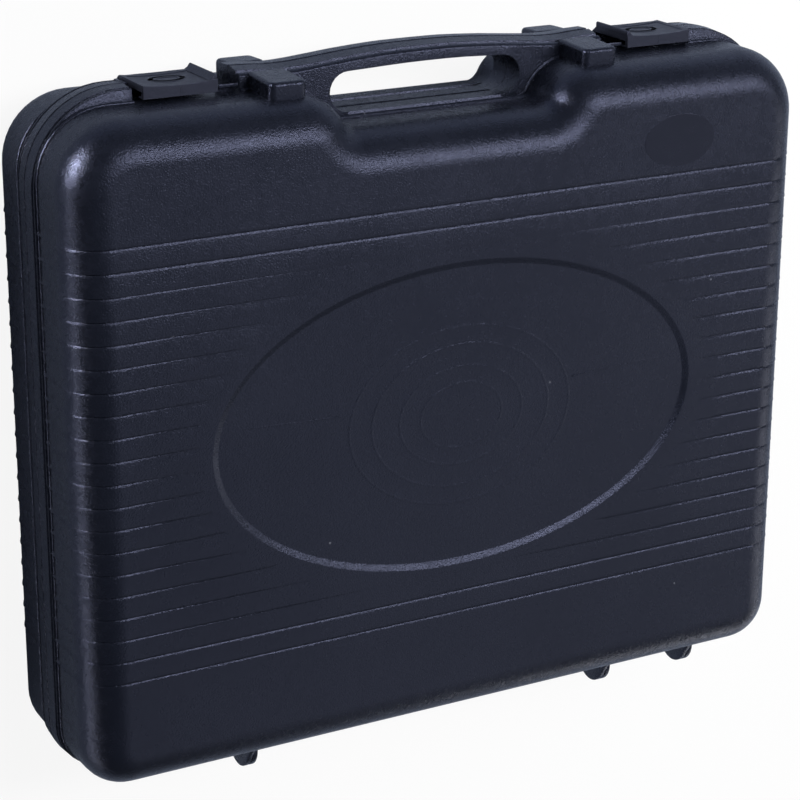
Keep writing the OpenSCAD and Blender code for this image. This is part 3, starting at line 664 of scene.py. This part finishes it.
def makeFloorRim():
    # the lip along the floor of the recess
    f = floorSize
    low, high = partingZ + f["rows"][0][0], partingZ + f["rows"][-1][0]
    newBox("lid_recess_lip", (-f["half"], f["top"], low), (f["half"], f["low"], high))
    cutAll(2, [partingZ + height for height, drop in f["rows"][1:-1]])
    for height, drop in f["rows"]:
        pickVerts(lambda v: near(v.z, partingZ + height) and near(v.y, f["top"]))
        move(y=drop)
    return leave(40)


lidHandle = makeHandle("lid_handle", handleSize["lidRows"])
baseHandle = toBase(makeHandle("handle_temp", handleSize["baseRows"]), "base_handle", keep=False)
lidBead = makeHandleBead("lid_handle_bead")
baseBead = toBase(lidBead, "base_handle_bead")
lidLip = makeFloorRim()
baseLip = toBase(lidLip, "base_recess_lip")

blockSize = {
    "inner": 69, "outer": 86.8, "side": (3.2, 5), "sideDeep": 2.5, "round": (1.8, 3, 35),
    "lidOutline": [(-163.4, 56), (-162.2, 80), (-151.6, 79), (-151.6, 56)],
    "baseOutline": [(-163.4, 56), (-163, 71.2), (-151.6, 71), (-151.6, 56)],
}


def makeBlock(name, outline):
    b = blockSize
    block = newPlate(name, outline, 0, -b["outer"], -b["inner"])
    low = max(z for y, z in outline) - b["sideDeep"]
    pickEdges(lambda p, q: near(abs(p.x), abs(q.x)) and min(p.z, q.z) > low and abs(p.y - q.y) > 4)
    bevel(*b["side"])
    setMode("OBJECT")
    return smooth(rounded(block, *b["round"]), 40)


lidBlockLeft = makeBlock("lid_block_left", blockSize["lidOutline"])
lidBlockRight = flipped(lidBlockLeft, "lid_block_right", 0)
baseBlockLeft = toBase(makeBlock("block_temp", blockSize["baseOutline"]), "base_block_left", keep=False)
baseBlockRight = flipped(baseBlockLeft, "base_block_right", 0)

# latch rails
print("rails and latches")
railSize = {
    "outline": [(-155.4, 0), (-155.4, 9), (-158.7, 9.3), (-158.7, 12.6), (-159.6, 12.8), (-159.6, 13.5),
                (-158, 13.5), (-158, 10), (-154.2, 10), (-154.2, 0)],
    "inner": 92.5, "baseOuter": 139.6, "lidOuter": 101.5, "gap": .05, "round": (.3, 2, 40),
    "stopInner": 137.4, "stopOutline": [(-161.6, 0), (-161.6, 10), (-154.6, 10), (-154.6, 0)],
}


def makeRails(name, side, inner, outer, outline):
    # the left and the right rail of one shell
    points = [(y, partingZ + side * max(h, railSize["gap"])) for y, h in outline]
    pair = []
    for end, low, high in (("_left", -outer, -inner), ("_right", inner, outer)):
        rail = newPlate(name + end, points, 0, low, high, edit=False)
        pair.append(smooth(rounded(rail, *railSize["round"]), 40))
    return pair


r = railSize
lidRails = makeRails("lid_rail", 1, r["inner"], r["lidOuter"], r["outline"])
baseRails = makeRails("base_rail", -1, r["inner"], r["baseOuter"], r["outline"])
baseRails += makeRails("base_stop", -1, r["stopInner"], r["baseOuter"], r["stopOutline"])

# latches
latchSize = {
    "inner": 103, "outer": 137, "top": -162.9, "under": -159.9, "half": 16, "lip": 2.2, "hookLow": -157.1,
    "hookTop": -157.8, "reach": 3.2, "dip": 1, "columns": 12, "border": 2.2, "panel": .35,
    "panelTaper": (.985, 1, .98), "round": (.45, 2, 50),
    "farEdge": [(-162.9, -10.2), (-162.3, -11.4), (-161.2, -12.8), (-160.2, -14.2), (-158.4, -15.6),
                (-157.1, -16)],
    "ridge": [(103, -162.2), (103, -164.3), (103.5, -165), (104.2, -164.8), (105.2, -163.4), (107, -162.3)],
    "ridgeEnds": (11.2, .6), "ridgeRound": (.4, 2, 40),
    # half width, half length and rise of each oval step on the panel
    "ovals": [(9.4, 6.4, .3), (8.3, 5.4, -.25), (6.4, 3.9, .3), (5.2, 2.9, -.25)],
    "ovalTaper": (.95, .93), "ovalShift": 1, "ovalSteps": 40,
    "seamHalf": .25, "seamTop": .8, "seamLow": .3, "seamDeep": (.5, .14), "seamRound": (.1, 1, 40),
}


def makeLatch():
    # a C-shaped slide with a hollowed top, drawn across its travel
    s = latchSize
    edge, lip = s["half"], s["half"] - s["lip"]
    tip = lip - s["reach"]
    hook = [(s["hookLow"], tip), (s["hookTop"], tip), (s["hookTop"], lip), (s["under"], lip)]
    points = [(s["top"], edge), (s["hookLow"], edge)] + hook + [(y, -h) for y, h in reversed(hook)]
    points += reversed(s["farEdge"])
    latch = newPlate("latch_right_slide", [(y, partingZ + h) for y, h in points], 0, s["inner"], s["outer"])
    middle, half = (s["inner"] + s["outer"]) / 2, (s["outer"] - s["inner"]) / 2
    columns = [s["inner"] + 2 * half * i / s["columns"] for i in range(s["columns"] + 1)]
    cutAll(0, columns[1:-1])
    for x in columns:
        pickVerts(lambda v: near(v.x, x) and near(v.y, s["top"]))
        move(y=s["dip"] * (1 - ((x - middle) / half) ** 2))
    # sunk panel inside a raised border
    sides = (s["inner"] + s["border"] + 1, s["outer"] - s["border"])
    ends = (partingZ + s["farEdge"][0][1] + s["border"], partingZ + s["half"] - s["border"])
    cutAll(0, sides)
    cutAll(2, ends)
    low = s["top"] + s["dip"] + .1

    def onPanel(c, n):
        return n.y < -.95 and c.y < low and sides[0] < c.x < sides[1] and ends[0] < c.z < ends[1]

    pickFaces(onPanel)
    extrude(s["panel"])
    resize(s["panelTaper"], (middle, 0, sum(ends) / 2))
    setMode("OBJECT")
    smooth(rounded(latch, *s["round"]), 35)
    # raised and sunk ovals in the middle of the panel
    floorY, z = s["top"] + s["dip"] + s["panel"], partingZ + s["ovalShift"]
    taperX, taperZ = s["ovalTaper"]
    boss = newRod("boss", 1, (middle, floorY + 1, z), (middle, floorY, z), s["ovalSteps"])
    a, b = 1, 1
    for wide, deep, rise in s["ovals"]:
        pickFaces(lambda c, n: n.y < -.9)
        if a != 1:
            extrude()
        else:
            selectAll()
        resize((wide / a, 1, deep / b), (middle, 0, z))
        pickFaces(lambda c, n: n.y < -.9 and near(c.x, middle, .1) and near(c.z, z, .1))
        extrude(-rise)
        resize((taperX, 1, taperZ), (middle, 0, z))
        a, b = wide * taperX, deep * taperZ
    leave(40)
    low, high = s["ridgeEnds"]
    ridge = newPlate("ridge", s["ridge"], 2, partingZ - low, partingZ + s["half"] - high, edit=False)
    smooth(rounded(ridge, *s["ridgeRound"]), 40)
    end, (low, high) = partingZ + s["half"], s["seamDeep"]
    seam = newBox("seam", (middle - s["seamHalf"], s["top"] + s["dip"] + s["seamTop"], end - low),
                  (middle + s["seamHalf"], s["hookLow"] - s["seamLow"], end + high), edit=False)
    rounded(seam, *s["seamRound"])
    return joined("latch_right_slide", [latch, ridge, boss, seam])


latchRight = makeLatch()
latchLeft = flipped(latchRight, "latch_left_slide", 0)

# hinge knuckles
print("hinges")
knuckleSize = {
    "axisY": 157.4, "radius": 11.2, "wall": 144.4, "webHigh": 24, "webLow": 1, "inner": .15, "outer": 2.65,
    "from": 70, "to": 180, "steps": 72, "round": (.5, 2, 40), "stations": [-156, -106, 90],
}


def makeKnuckle():
    k = knuckleSize
    axis, radius = k["axisY"], k["radius"]
    ends = [(x, axis, partingZ) for x in (k["inner"], k["outer"])]
    plate = newRod("lid_knuckle", radius, *ends, k["steps"])

    def angle(v):
        return math.degrees(math.atan2(v.z - partingZ, v.y - axis)) % 360

    def onRim(v):
        return math.hypot(v.y - axis, v.z - partingZ) > radius - .1

    # the side that faces the shell is drawn out into a web on the wall
    seen = sorted({round(angle(v.co / mm), 1) for v in editMesh().verts})
    for a in seen:
        if k["from"] < a <= k["to"]:
            share = (a - k["from"]) / (k["to"] - k["from"])
            high = k["webHigh"] + (k["webLow"] - k["webHigh"]) * share
            y = axis + radius * math.cos(math.radians(a))
            z = radius * math.sin(math.radians(a))
            pickVerts(lambda v: abs(angle(v) - a) < 1 and onRim(v))
            move(y=k["wall"] - y, z=high - z)
    setMode("OBJECT")
    return smooth(rounded(plate, *k["round"]), 40)


knuckle = makeKnuckle()
lidKnuckles = joined("lid_knuckles", [shifted(knuckle, "k", x) for x in knuckleSize["stations"]])
bpy.data.objects.remove(knuckle)
turned = toBase(lidKnuckles, "base_knuckles_temp")
baseKnuckles = shifted(turned, "base_knuckles", -(knuckleSize["inner"] + knuckleSize["outer"]))
bpy.data.objects.remove(turned)

# inside of the base
stopSize = {
    "x": 173.3, "half": (2.5, 12), "low": 3.5, "high": 20.5, "places": (-78.1, 81.9), "round": (.8, 2, 40),
}
stops = []
for y in stopSize["places"]:
    for x in (-stopSize["x"], stopSize["x"]):
        wide, long = stopSize["half"]
        stops.append(newBox("stop", (x - wide, y - long, stopSize["low"]),
                            (x + wide, y + long, stopSize["high"]), edit=False))
baseStops = smooth(rounded(joined("base_stove_stops", stops), *stopSize["round"]), 40)

# flat faces stay flat in the shading beside their rounded edges
for piece in (lidCase, baseCase, lidOval, baseOval, lidHandle, baseHandle, lidBlockLeft, lidBlockRight,
              baseBlockLeft, baseBlockRight, lidLip, baseLip, latchRight, latchLeft, lidPatch):
    modifier(piece, "WEIGHTED_NORMAL", keep_sharp=True)

lidPieces = [lidSpokes, lidPatch, lidRim, lidRimFoot, lidHandle, lidBead, lidLip, lidBlockLeft, lidBlockRight,
             lidKnuckles] + lidRails
basePieces = [baseSpokes, baseRim, baseRimFoot, baseHandle, baseBead, baseLip, baseBlockLeft, baseBlockRight,
              baseKnuckles, baseStops] + baseRails
for piece in lidPieces:
    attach(piece, "lid")
for piece in basePieces:
    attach(piece, "base")
for piece, node, body in ((latchRight, "latch_right", "latch_right_body"),
                          (latchLeft, "latch_left", "latch_left_body")):
    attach(piece, body)
    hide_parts(node)

# finishes
print("finishes")


def newNode(tree, kind, inputs=None, **values):
    node = tree.nodes.new(kind)
    for key, value in values.items():
        setattr(node, key, value)
    for key, value in (inputs or {}).items():
        if isinstance(value, bpy.types.NodeSocket):
            tree.links.new(value, node.inputs[key])
        else:
            node.inputs[key].default_value = value
    return node


def newGroup(name, inputs, outputs):
    tree = bpy.data.node_groups.new(name, "ShaderNodeTree")
    for label, kind, value in inputs:
        socket = tree.interface.new_socket(label, in_out="INPUT", socket_type=kind)
        if value is not None:
            socket.default_value = value
    for label, kind in outputs:
        tree.interface.new_socket(label, in_out="OUTPUT", socket_type=kind)
    start = tree.nodes.new("NodeGroupInput")
    end = tree.nodes.new("NodeGroupOutput")
    return tree, start.outputs, end.inputs


def scaled(tree, vector, x, y, z):
    return newNode(tree, "ShaderNodeMapping", {"Vector": vector, "Scale": (x, y, z)}).outputs["Vector"]


def noise(tree, vector, scale, detail=2, rough=.5):
    values = {"Vector": vector, "Scale": scale, "Detail": detail, "Roughness": rough}
    return newNode(tree, "ShaderNodeTexNoise", values).outputs["Fac"]


def spread(tree, value, low, high, toLow=0, toHigh=1):
    # maps one range of a value to another, clamped
    node = newNode(tree, "ShaderNodeMapRange", {"Value": value, "From Min": low, "From Max": high,
                                                "To Min": toLow, "To Max": toHigh})
    return node.outputs["Result"]


def maths(tree, operation, a, b):
    return newNode(tree, "ShaderNodeMath", {0: a, 1: b}, operation=operation).outputs["Value"]


def blended(tree, share, a, b, blend="MIX"):
    node = newNode(tree, "ShaderNodeMix", data_type="RGBA", blend_type=blend)
    for key, value in ((0, share), (6, a), (7, b)):
        if isinstance(value, bpy.types.NodeSocket):
            tree.links.new(value, node.inputs[key])
        else:
            node.inputs[key].default_value = value
    return node.outputs[2]


def makeMouldedSkin():
    # fine sand grain of blown plastic, with soft unevenness, rubbed streaks and a few pale specks
    tree, given, out = newGroup("mouldedSkin", [
        ("Vector", "NodeSocketVector", None), ("Colour", "NodeSocketColor", (.01, .012, .02, 1)),
        ("Rubbed Colour", "NodeSocketColor", (.03, .032, .042, 1)),
        ("Grain Scale", "NodeSocketFloat", 1300.0), ("Grain Depth", "NodeSocketFloat", .6),
        ("Rubbing", "NodeSocketFloat", .5), ("Roughness", "NodeSocketFloat", .4),
    ], [("Colour", "NodeSocketColor"), ("Roughness", "NodeSocketFloat"), ("Height", "NodeSocketFloat")])
    vector = given["Vector"]
    grain = noise(tree, vector, given["Grain Scale"], 2, .55)
    coarse = noise(tree, vector, 260, 2)
    wave = noise(tree, vector, 26, 2)
    cloud = noise(tree, vector, 9, 5, .6)
    streak = noise(tree, scaled(tree, vector, 18, 240, 60), 1, 5, .65)
    streak = spread(tree, streak, .62, .78)
    patch = spread(tree, noise(tree, vector, 14, 3), .48, .7)
    rubbed = maths(tree, "MULTIPLY", maths(tree, "MULTIPLY", streak, patch), given["Rubbing"])
    dots = newNode(tree, "ShaderNodeTexVoronoi", {"Vector": vector, "Scale": 150.0})
    chance = newNode(tree, "ShaderNodeSeparateColor", {"Color": dots.outputs["Color"]}).outputs["Red"]
    picked = spread(tree, chance, .975, .98)
    speck = maths(tree, "MULTIPLY", spread(tree, dots.outputs["Distance"], .1, .05), picked)
    tone = blended(tree, spread(tree, cloud, .3, .75, 0, .35), given["Colour"], given["Rubbed Colour"])
    tone = blended(tree, rubbed, tone, given["Rubbed Colour"])
    tone = blended(tree, maths(tree, "MULTIPLY", speck, .45), tone, (.25, .26, .3, 1))
    tree.links.new(tone, out["Colour"])
    rough = maths(tree, "ADD", given["Roughness"], spread(tree, coarse, .3, .7, -.05, .05))
    rough = maths(tree, "ADD", rough, spread(tree, cloud, .3, .7, -.03, .05))
    tree.links.new(rough, out["Roughness"])
    height = maths(tree, "MULTIPLY", grain, given["Grain Depth"])
    height = maths(tree, "ADD", height, maths(tree, "MULTIPLY", coarse, .1))
    height = maths(tree, "ADD", height, maths(tree, "MULTIPLY", wave, .5))
    tree.links.new(height, out["Height"])
    return tree


def makeSprayed():
    # even paint or fired enamel with a faint orange peel, tiny dust and a little handling wear
    tree, given, out = newGroup("sprayedCoat", [
        ("Vector", "NodeSocketVector", None), ("Colour", "NodeSocketColor", (.02, .02, .02, 1)),
        ("Peel Scale", "NodeSocketFloat", 420.0), ("Wear", "NodeSocketFloat", .3),
        ("Roughness", "NodeSocketFloat", .35),
    ], [("Colour", "NodeSocketColor"), ("Roughness", "NodeSocketFloat"), ("Height", "NodeSocketFloat")])
    vector = given["Vector"]
    peel = noise(tree, vector, given["Peel Scale"], 1)
    cloud = noise(tree, vector, 22, 5, .6)
    dust = spread(tree, noise(tree, vector, 900, 1), .68, .74)
    worn = maths(tree, "MULTIPLY", spread(tree, cloud, .45, .75), given["Wear"])
    tone = blended(tree, worn, given["Colour"], (.09, .085, .08, 1))
    tone = blended(tree, maths(tree, "MULTIPLY", dust, .12), tone, (.3, .3, .3, 1))
    tree.links.new(tone, out["Colour"])
    rough = maths(tree, "ADD", given["Roughness"], spread(tree, cloud, .3, .7, -.06, .1))
    tree.links.new(rough, out["Roughness"])
    tree.links.new(peel, out["Height"])
    return tree


def makeDrawnMetal():
    # rolled or turned metal: fine lines one way, smudges and a faint stain
    tree, given, out = newGroup("drawnMetal", [
        ("Vector", "NodeSocketVector", None), ("Colour", "NodeSocketColor", (.6, .6, .6, 1)),
        ("Stain Colour", "NodeSocketColor", (.3, .27, .22, 1)), ("Line Scale", "NodeSocketFloat", 1.0),
        ("Roughness", "NodeSocketFloat", .3),
    ], [("Colour", "NodeSocketColor"), ("Roughness", "NodeSocketFloat"), ("Height", "NodeSocketFloat")])
    vector = given["Vector"]
    lines = noise(tree, scaled(tree, vector, 40, 2200, 2200), given["Line Scale"], 3)
    smudge = noise(tree, vector, 32, 4, .6)
    tone = blended(tree, spread(tree, smudge, .5, .8, 0, .5), given["Colour"], given["Stain Colour"])
    tone = blended(tree, spread(tree, lines, .3, .7, 0, .15), tone, (.9, .9, .9, 1), "MULTIPLY")
    tree.links.new(tone, out["Colour"])
    rough = maths(tree, "ADD", given["Roughness"], spread(tree, smudge, .3, .7, -.06, .12))
    rough = maths(tree, "ADD", rough, spread(tree, lines, .3, .7, -.05, .05))
    tree.links.new(rough, out["Roughness"])
    tree.links.new(lines, out["Height"])
    return tree


groups = {"moulded": makeMouldedSkin(), "sprayed": makeSprayed(), "drawn": makeDrawnMetal()}

finishes = {
    "casePlastic": {
        "group": "moulded", "bump": .00026, "tint": (.6, .65, 1, 1),
        "values": {"Colour": (.0065, .008, .0135, 1), "Rubbed Colour": (.018, .021, .033, 1),
                   "Grain Scale": 1300.0, "Grain Depth": .8, "Rubbing": .5, "Roughness": .25},
    },
    "smoothPlastic": {
        "group": "moulded", "bump": .00006, "tint": (.6, .65, 1, 1),
        "values": {"Colour": (.005, .006, .01, 1), "Rubbed Colour": (.012, .014, .022, 1),
                   "Grain Scale": 1300.0, "Grain Depth": .3, "Rubbing": .2, "Roughness": .22},
    },
    "latchPlastic": {
        "group": "moulded", "bump": .0002, "tint": (.6, .65, 1, 1),
        "values": {"Colour": (.012, .0135, .02, 1), "Rubbed Colour": (.028, .03, .042, 1),
                   "Grain Scale": 800.0, "Grain Depth": .6, "Rubbing": .8, "Roughness": .4},
    },
    "knobPlastic": {
        "group": "moulded", "bump": .00003, "level": .4,
        "values": {"Colour": (.012, .012, .013, 1), "Rubbed Colour": (.05, .05, .05, 1),
                   "Grain Scale": 1600.0, "Grain Depth": .3, "Rubbing": .3, "Roughness": .32},
    },
    "footRubber": {
        "group": "moulded", "bump": .00008, "level": .2,
        "values": {"Colour": (.014, .014, .014, 1), "Rubbed Colour": (.06, .058, .055, 1),
                   "Grain Scale": 700.0, "Grain Depth": .8, "Rubbing": .6, "Roughness": .75},
    },
    "leadSheath": {
        "group": "moulded", "bump": .00003, "level": .4,
        "values": {"Colour": (.35, .03, .02, 1), "Rubbed Colour": (.3, .06, .05, 1), "Grain Scale": 1500.0,
                   "Grain Depth": .3, "Rubbing": .3, "Roughness": .45},
    },
    "stovePaint": {
        "group": "sprayed", "bump": .00003,
        "values": {"Colour": (.035, .036, .04, 1), "Peel Scale": 420.0, "Wear": .08, "Roughness": .36},
    },
    "blackEnamel": {
        "group": "sprayed", "bump": .00004,
        "values": {"Colour": (.014, .014, .015, 1), "Peel Scale": 300.0, "Wear": .12, "Roughness": .22},
    },
    "sparkCeramic": {
        "group": "sprayed", "bump": .00002,
        "values": {"Colour": (.75, .72, .64, 1), "Peel Scale": 500.0, "Wear": .1, "Roughness": .25},
    },
    "castAlloy": {
        "group": "drawn", "bump": .00008, "metallic": 1.0,
        "values": {"Colour": (.42, .42, .41, 1), "Stain Colour": (.2, .19, .18, 1), "Line Scale": .35,
                   "Roughness": .5},
    },
    "platedSteel": {
        "group": "drawn", "bump": .00001, "metallic": 1.0,
        "values": {"Colour": (.58, .58, .57, 1), "Stain Colour": (.4, .38, .34, 1), "Line Scale": 1.0,
                   "Roughness": .28},
    },
    "brass": {
        "group": "drawn", "bump": .00001, "metallic": 1.0,
        "values": {"Colour": (.68, .47, .2, 1), "Stain Colour": (.36, .22, .1, 1), "Line Scale": 1.0,
                   "Roughness": .3},
    },
}


def makeFinish(name, recipe):
    material = bpy.data.materials.new(name)
    material.use_nodes = True
    tree = material.node_tree
    shader = tree.nodes["Principled BSDF"]
    place = newNode(tree, "ShaderNodeTexCoord").outputs["Object"]
    skin = newNode(tree, "ShaderNodeGroup", node_tree=groups[recipe["group"]])
    tree.links.new(place, skin.inputs["Vector"])
    for key, value in recipe["values"].items():
        skin.inputs[key].default_value = value
    bump = newNode(tree, "ShaderNodeBump", {"Height": skin.outputs["Height"], "Strength": 1.0,
                                            "Distance": recipe["bump"]})
    tree.links.new(skin.outputs["Colour"], shader.inputs["Base Color"])
    tree.links.new(skin.outputs["Roughness"], shader.inputs["Roughness"])
    tree.links.new(bump.outputs["Normal"], shader.inputs["Normal"])
    shader.inputs["Metallic"].default_value = recipe.get("metallic", 0)
    shader.inputs["Specular IOR Level"].default_value = recipe.get("level", .5)
    shader.inputs["Specular Tint"].default_value = recipe.get("tint", (1, 1, 1, 1))
    return material


made = {name: makeFinish(name, recipe) for name, recipe in finishes.items()}
finishOf = {
    "latch_right_slide": "latchPlastic", "latch_left_slide": "latchPlastic", "hinge_pins": "casePlastic",
    "stove_body": "stovePaint", "top_plate": "stovePaint", "drip_pan": "platedSteel",
    "pan_support": "blackEnamel", "burner_head": "castAlloy", "burner_cap": "brass",
    "burner_bracket": "platedSteel", "mixing_tube": "castAlloy", "gas_jet": "brass",
    "gas_pipe": "platedSteel", "regulator": "castAlloy", "valve_spindle": "platedSteel",
    "control_knob": "knobPlastic", "dial_plate": "platedSteel", "piezo_igniter": "knobPlastic",
    "igniter_lead": "leadSheath", "igniter_electrode": "sparkCeramic", "lock_lever": "knobPlastic",
    "cartridge_yoke": "platedSteel", "cartridge_cradle": "platedSteel", "heat_shield": "platedSteel",
    "cartridge_door": "stovePaint", "door_hinge_pins": "platedSteel", "stove_feet": "footRubber",
    "stove_screws": "platedSteel",
}


def dress(piece, finish):
    piece.data.materials.clear()
    piece.data.materials.append(made[finish])


for piece in [lidCase, baseCase, lidOval, baseOval] + lidPieces + basePieces:
    dress(piece, "casePlastic")
dress(lidPatch, "smoothPlastic")
for name, finish in finishOf.items():
    dress(bpy.data.objects[name], finish)

# camera, lamps and floor
print("camera and lamps")
cameraPlace = {
    "location": (.52802, -.37947, 1.00121), "turn": (-19.3426, -28.7252, -179.6915),
    "lens": 111.49, "shift": (-.0082, -.0047),
}
camera = bpy.data.objects.new("camera", bpy.data.cameras.new("camera"))
bpy.context.scene.collection.objects.link(camera)
camera.location = cameraPlace["location"]
camera.rotation_euler = [math.radians(a) for a in cameraPlace["turn"]]
camera.data.lens = cameraPlace["lens"]
camera.data.shift_x, camera.data.shift_y = cameraPlace["shift"]
bpy.context.scene.camera = camera
bpy.context.scene.view_settings.view_transform = "Standard"


def softLamp(name, place, target, size, power):
    lamp = bpy.data.objects.new(name, bpy.data.lights.new(name, "AREA"))
    bpy.context.scene.collection.objects.link(lamp)
    lamp.data.shape = "RECTANGLE"
    lamp.data.size, lamp.data.size_y = size
    lamp.data.energy = power
    lamp.location = place
    lamp.rotation_euler = (Vector(target) - Vector(place)).to_track_quat("-Z", "Y").to_euler()
    return lamp


# place, target, size, power, and whether a lamp gives plain light, a mirror image or both;
# the corner, left and back lamps are low strips under the plane of the lid's face, mirrored by roundings only
lamps = {
    "front_lamp": ((-.8, -.56, 1.47), (-.8, -.1, .05), (1.6, .3), 17, True, True),
    "corner_lamp": ((1.1, -.6, .055), (.15, -.12, .055), (.42, .07), 17, False, True),
    "left_lamp": ((1.2, .5, .055), (.15, .2, .055), (1.7, .07), 4, False, True),
    "back_lamp": ((-.95, .95, .055), (0, 0, .055), (.9, .07), 1.2, False, True),
    "sheen_lamp": ((-.8, .75, 1.5), (0, 0, .05), (1.7, 1.2), 3.2, True, True),
    "right_lamp": ((-1.3, .4, .55), (-.1, 0, .05), (.6, .5), 1.5, True, True),
    "fill_lamp": ((-.6, -1.1, 1.8), (0, 0, 0), (1.6, 1.6), 24, True, False),
}
for name, (place, target, size, power, plain, mirrored) in lamps.items():
    lamp = softLamp(name, place, target, size, power)
    lamp.visible_diffuse, lamp.visible_glossy = plain, mirrored
    lamp.visible_camera = False

# strength overhead, and low down on the sides of -X and +X
studio = {"above": .1, "pale": .08, "dark": .015}
world = bpy.data.worlds.new("studio")
bpy.context.scene.world = world
world.use_nodes = True
sky = world.node_tree
direction = newNode(sky, "ShaderNodeTexCoord").outputs["Generated"]
across = newNode(sky, "ShaderNodeSeparateXYZ", {"Vector": direction}).outputs
sides = spread(sky, across["X"], -.35, .2, studio["pale"], studio["dark"])
overhead = spread(sky, across["Z"], -.25, .1)
sides = maths(sky, "MULTIPLY", sides, maths(sky, "SUBTRACT", 1.0, overhead))
room = maths(sky, "ADD", sides, maths(sky, "MULTIPLY", overhead, studio["above"]))
# the camera sees a white backdrop, everything else the dim cool room
seen = newNode(sky, "ShaderNodeLightPath").outputs["Is Camera Ray"]
backdrop = sky.nodes["Background"].inputs
sky.links.new(maths(sky, "MAXIMUM", room, seen), backdrop["Strength"])
sky.links.new(blended(sky, seen, (.86, .9, 1, 1), (1, 1, 1, 1)), backdrop["Color"])


def makeFloorFinish():
    material = bpy.data.materials.new("paleFloor")
    material.use_nodes = True
    tree = material.node_tree
    shader = tree.nodes["Principled BSDF"]
    rays = newNode(tree, "ShaderNodeLightPath").outputs
    # painted reflection: for glossy rays the floor's colour is a dimmer, cooler grey, so the case mirrors a
    # darker, bluer floor than the one it lies on
    tone = blended(tree, rays["Is Glossy Ray"], (.92, .92, .92, 1), (.36, .41, .52, 1))
    tree.links.new(tone, shader.inputs["Base Color"])
    shader.inputs["Roughness"].default_value = .8
    shader.inputs["Specular IOR Level"].default_value = 0
    # the camera sees the floor nearly white, with the shadow kept
    glow = newNode(tree, "ShaderNodeEmission", {"Color": (1, 1, 1, 1), "Strength": 1.0})
    seen = maths(tree, "MULTIPLY", rays["Is Camera Ray"], .9)
    parts = {0: seen, 1: shader.outputs["BSDF"], 2: glow.outputs["Emission"]}
    mixed = newNode(tree, "ShaderNodeMixShader", parts).outputs["Shader"]
    tree.links.new(mixed, tree.nodes["Material Output"].inputs["Surface"])
    return material


clearSelection()
bpy.ops.mesh.primitive_plane_add(size=6, location=(0, 0, 0))
floor = named("floor")
floor.data.materials.append(makeFloorFinish())
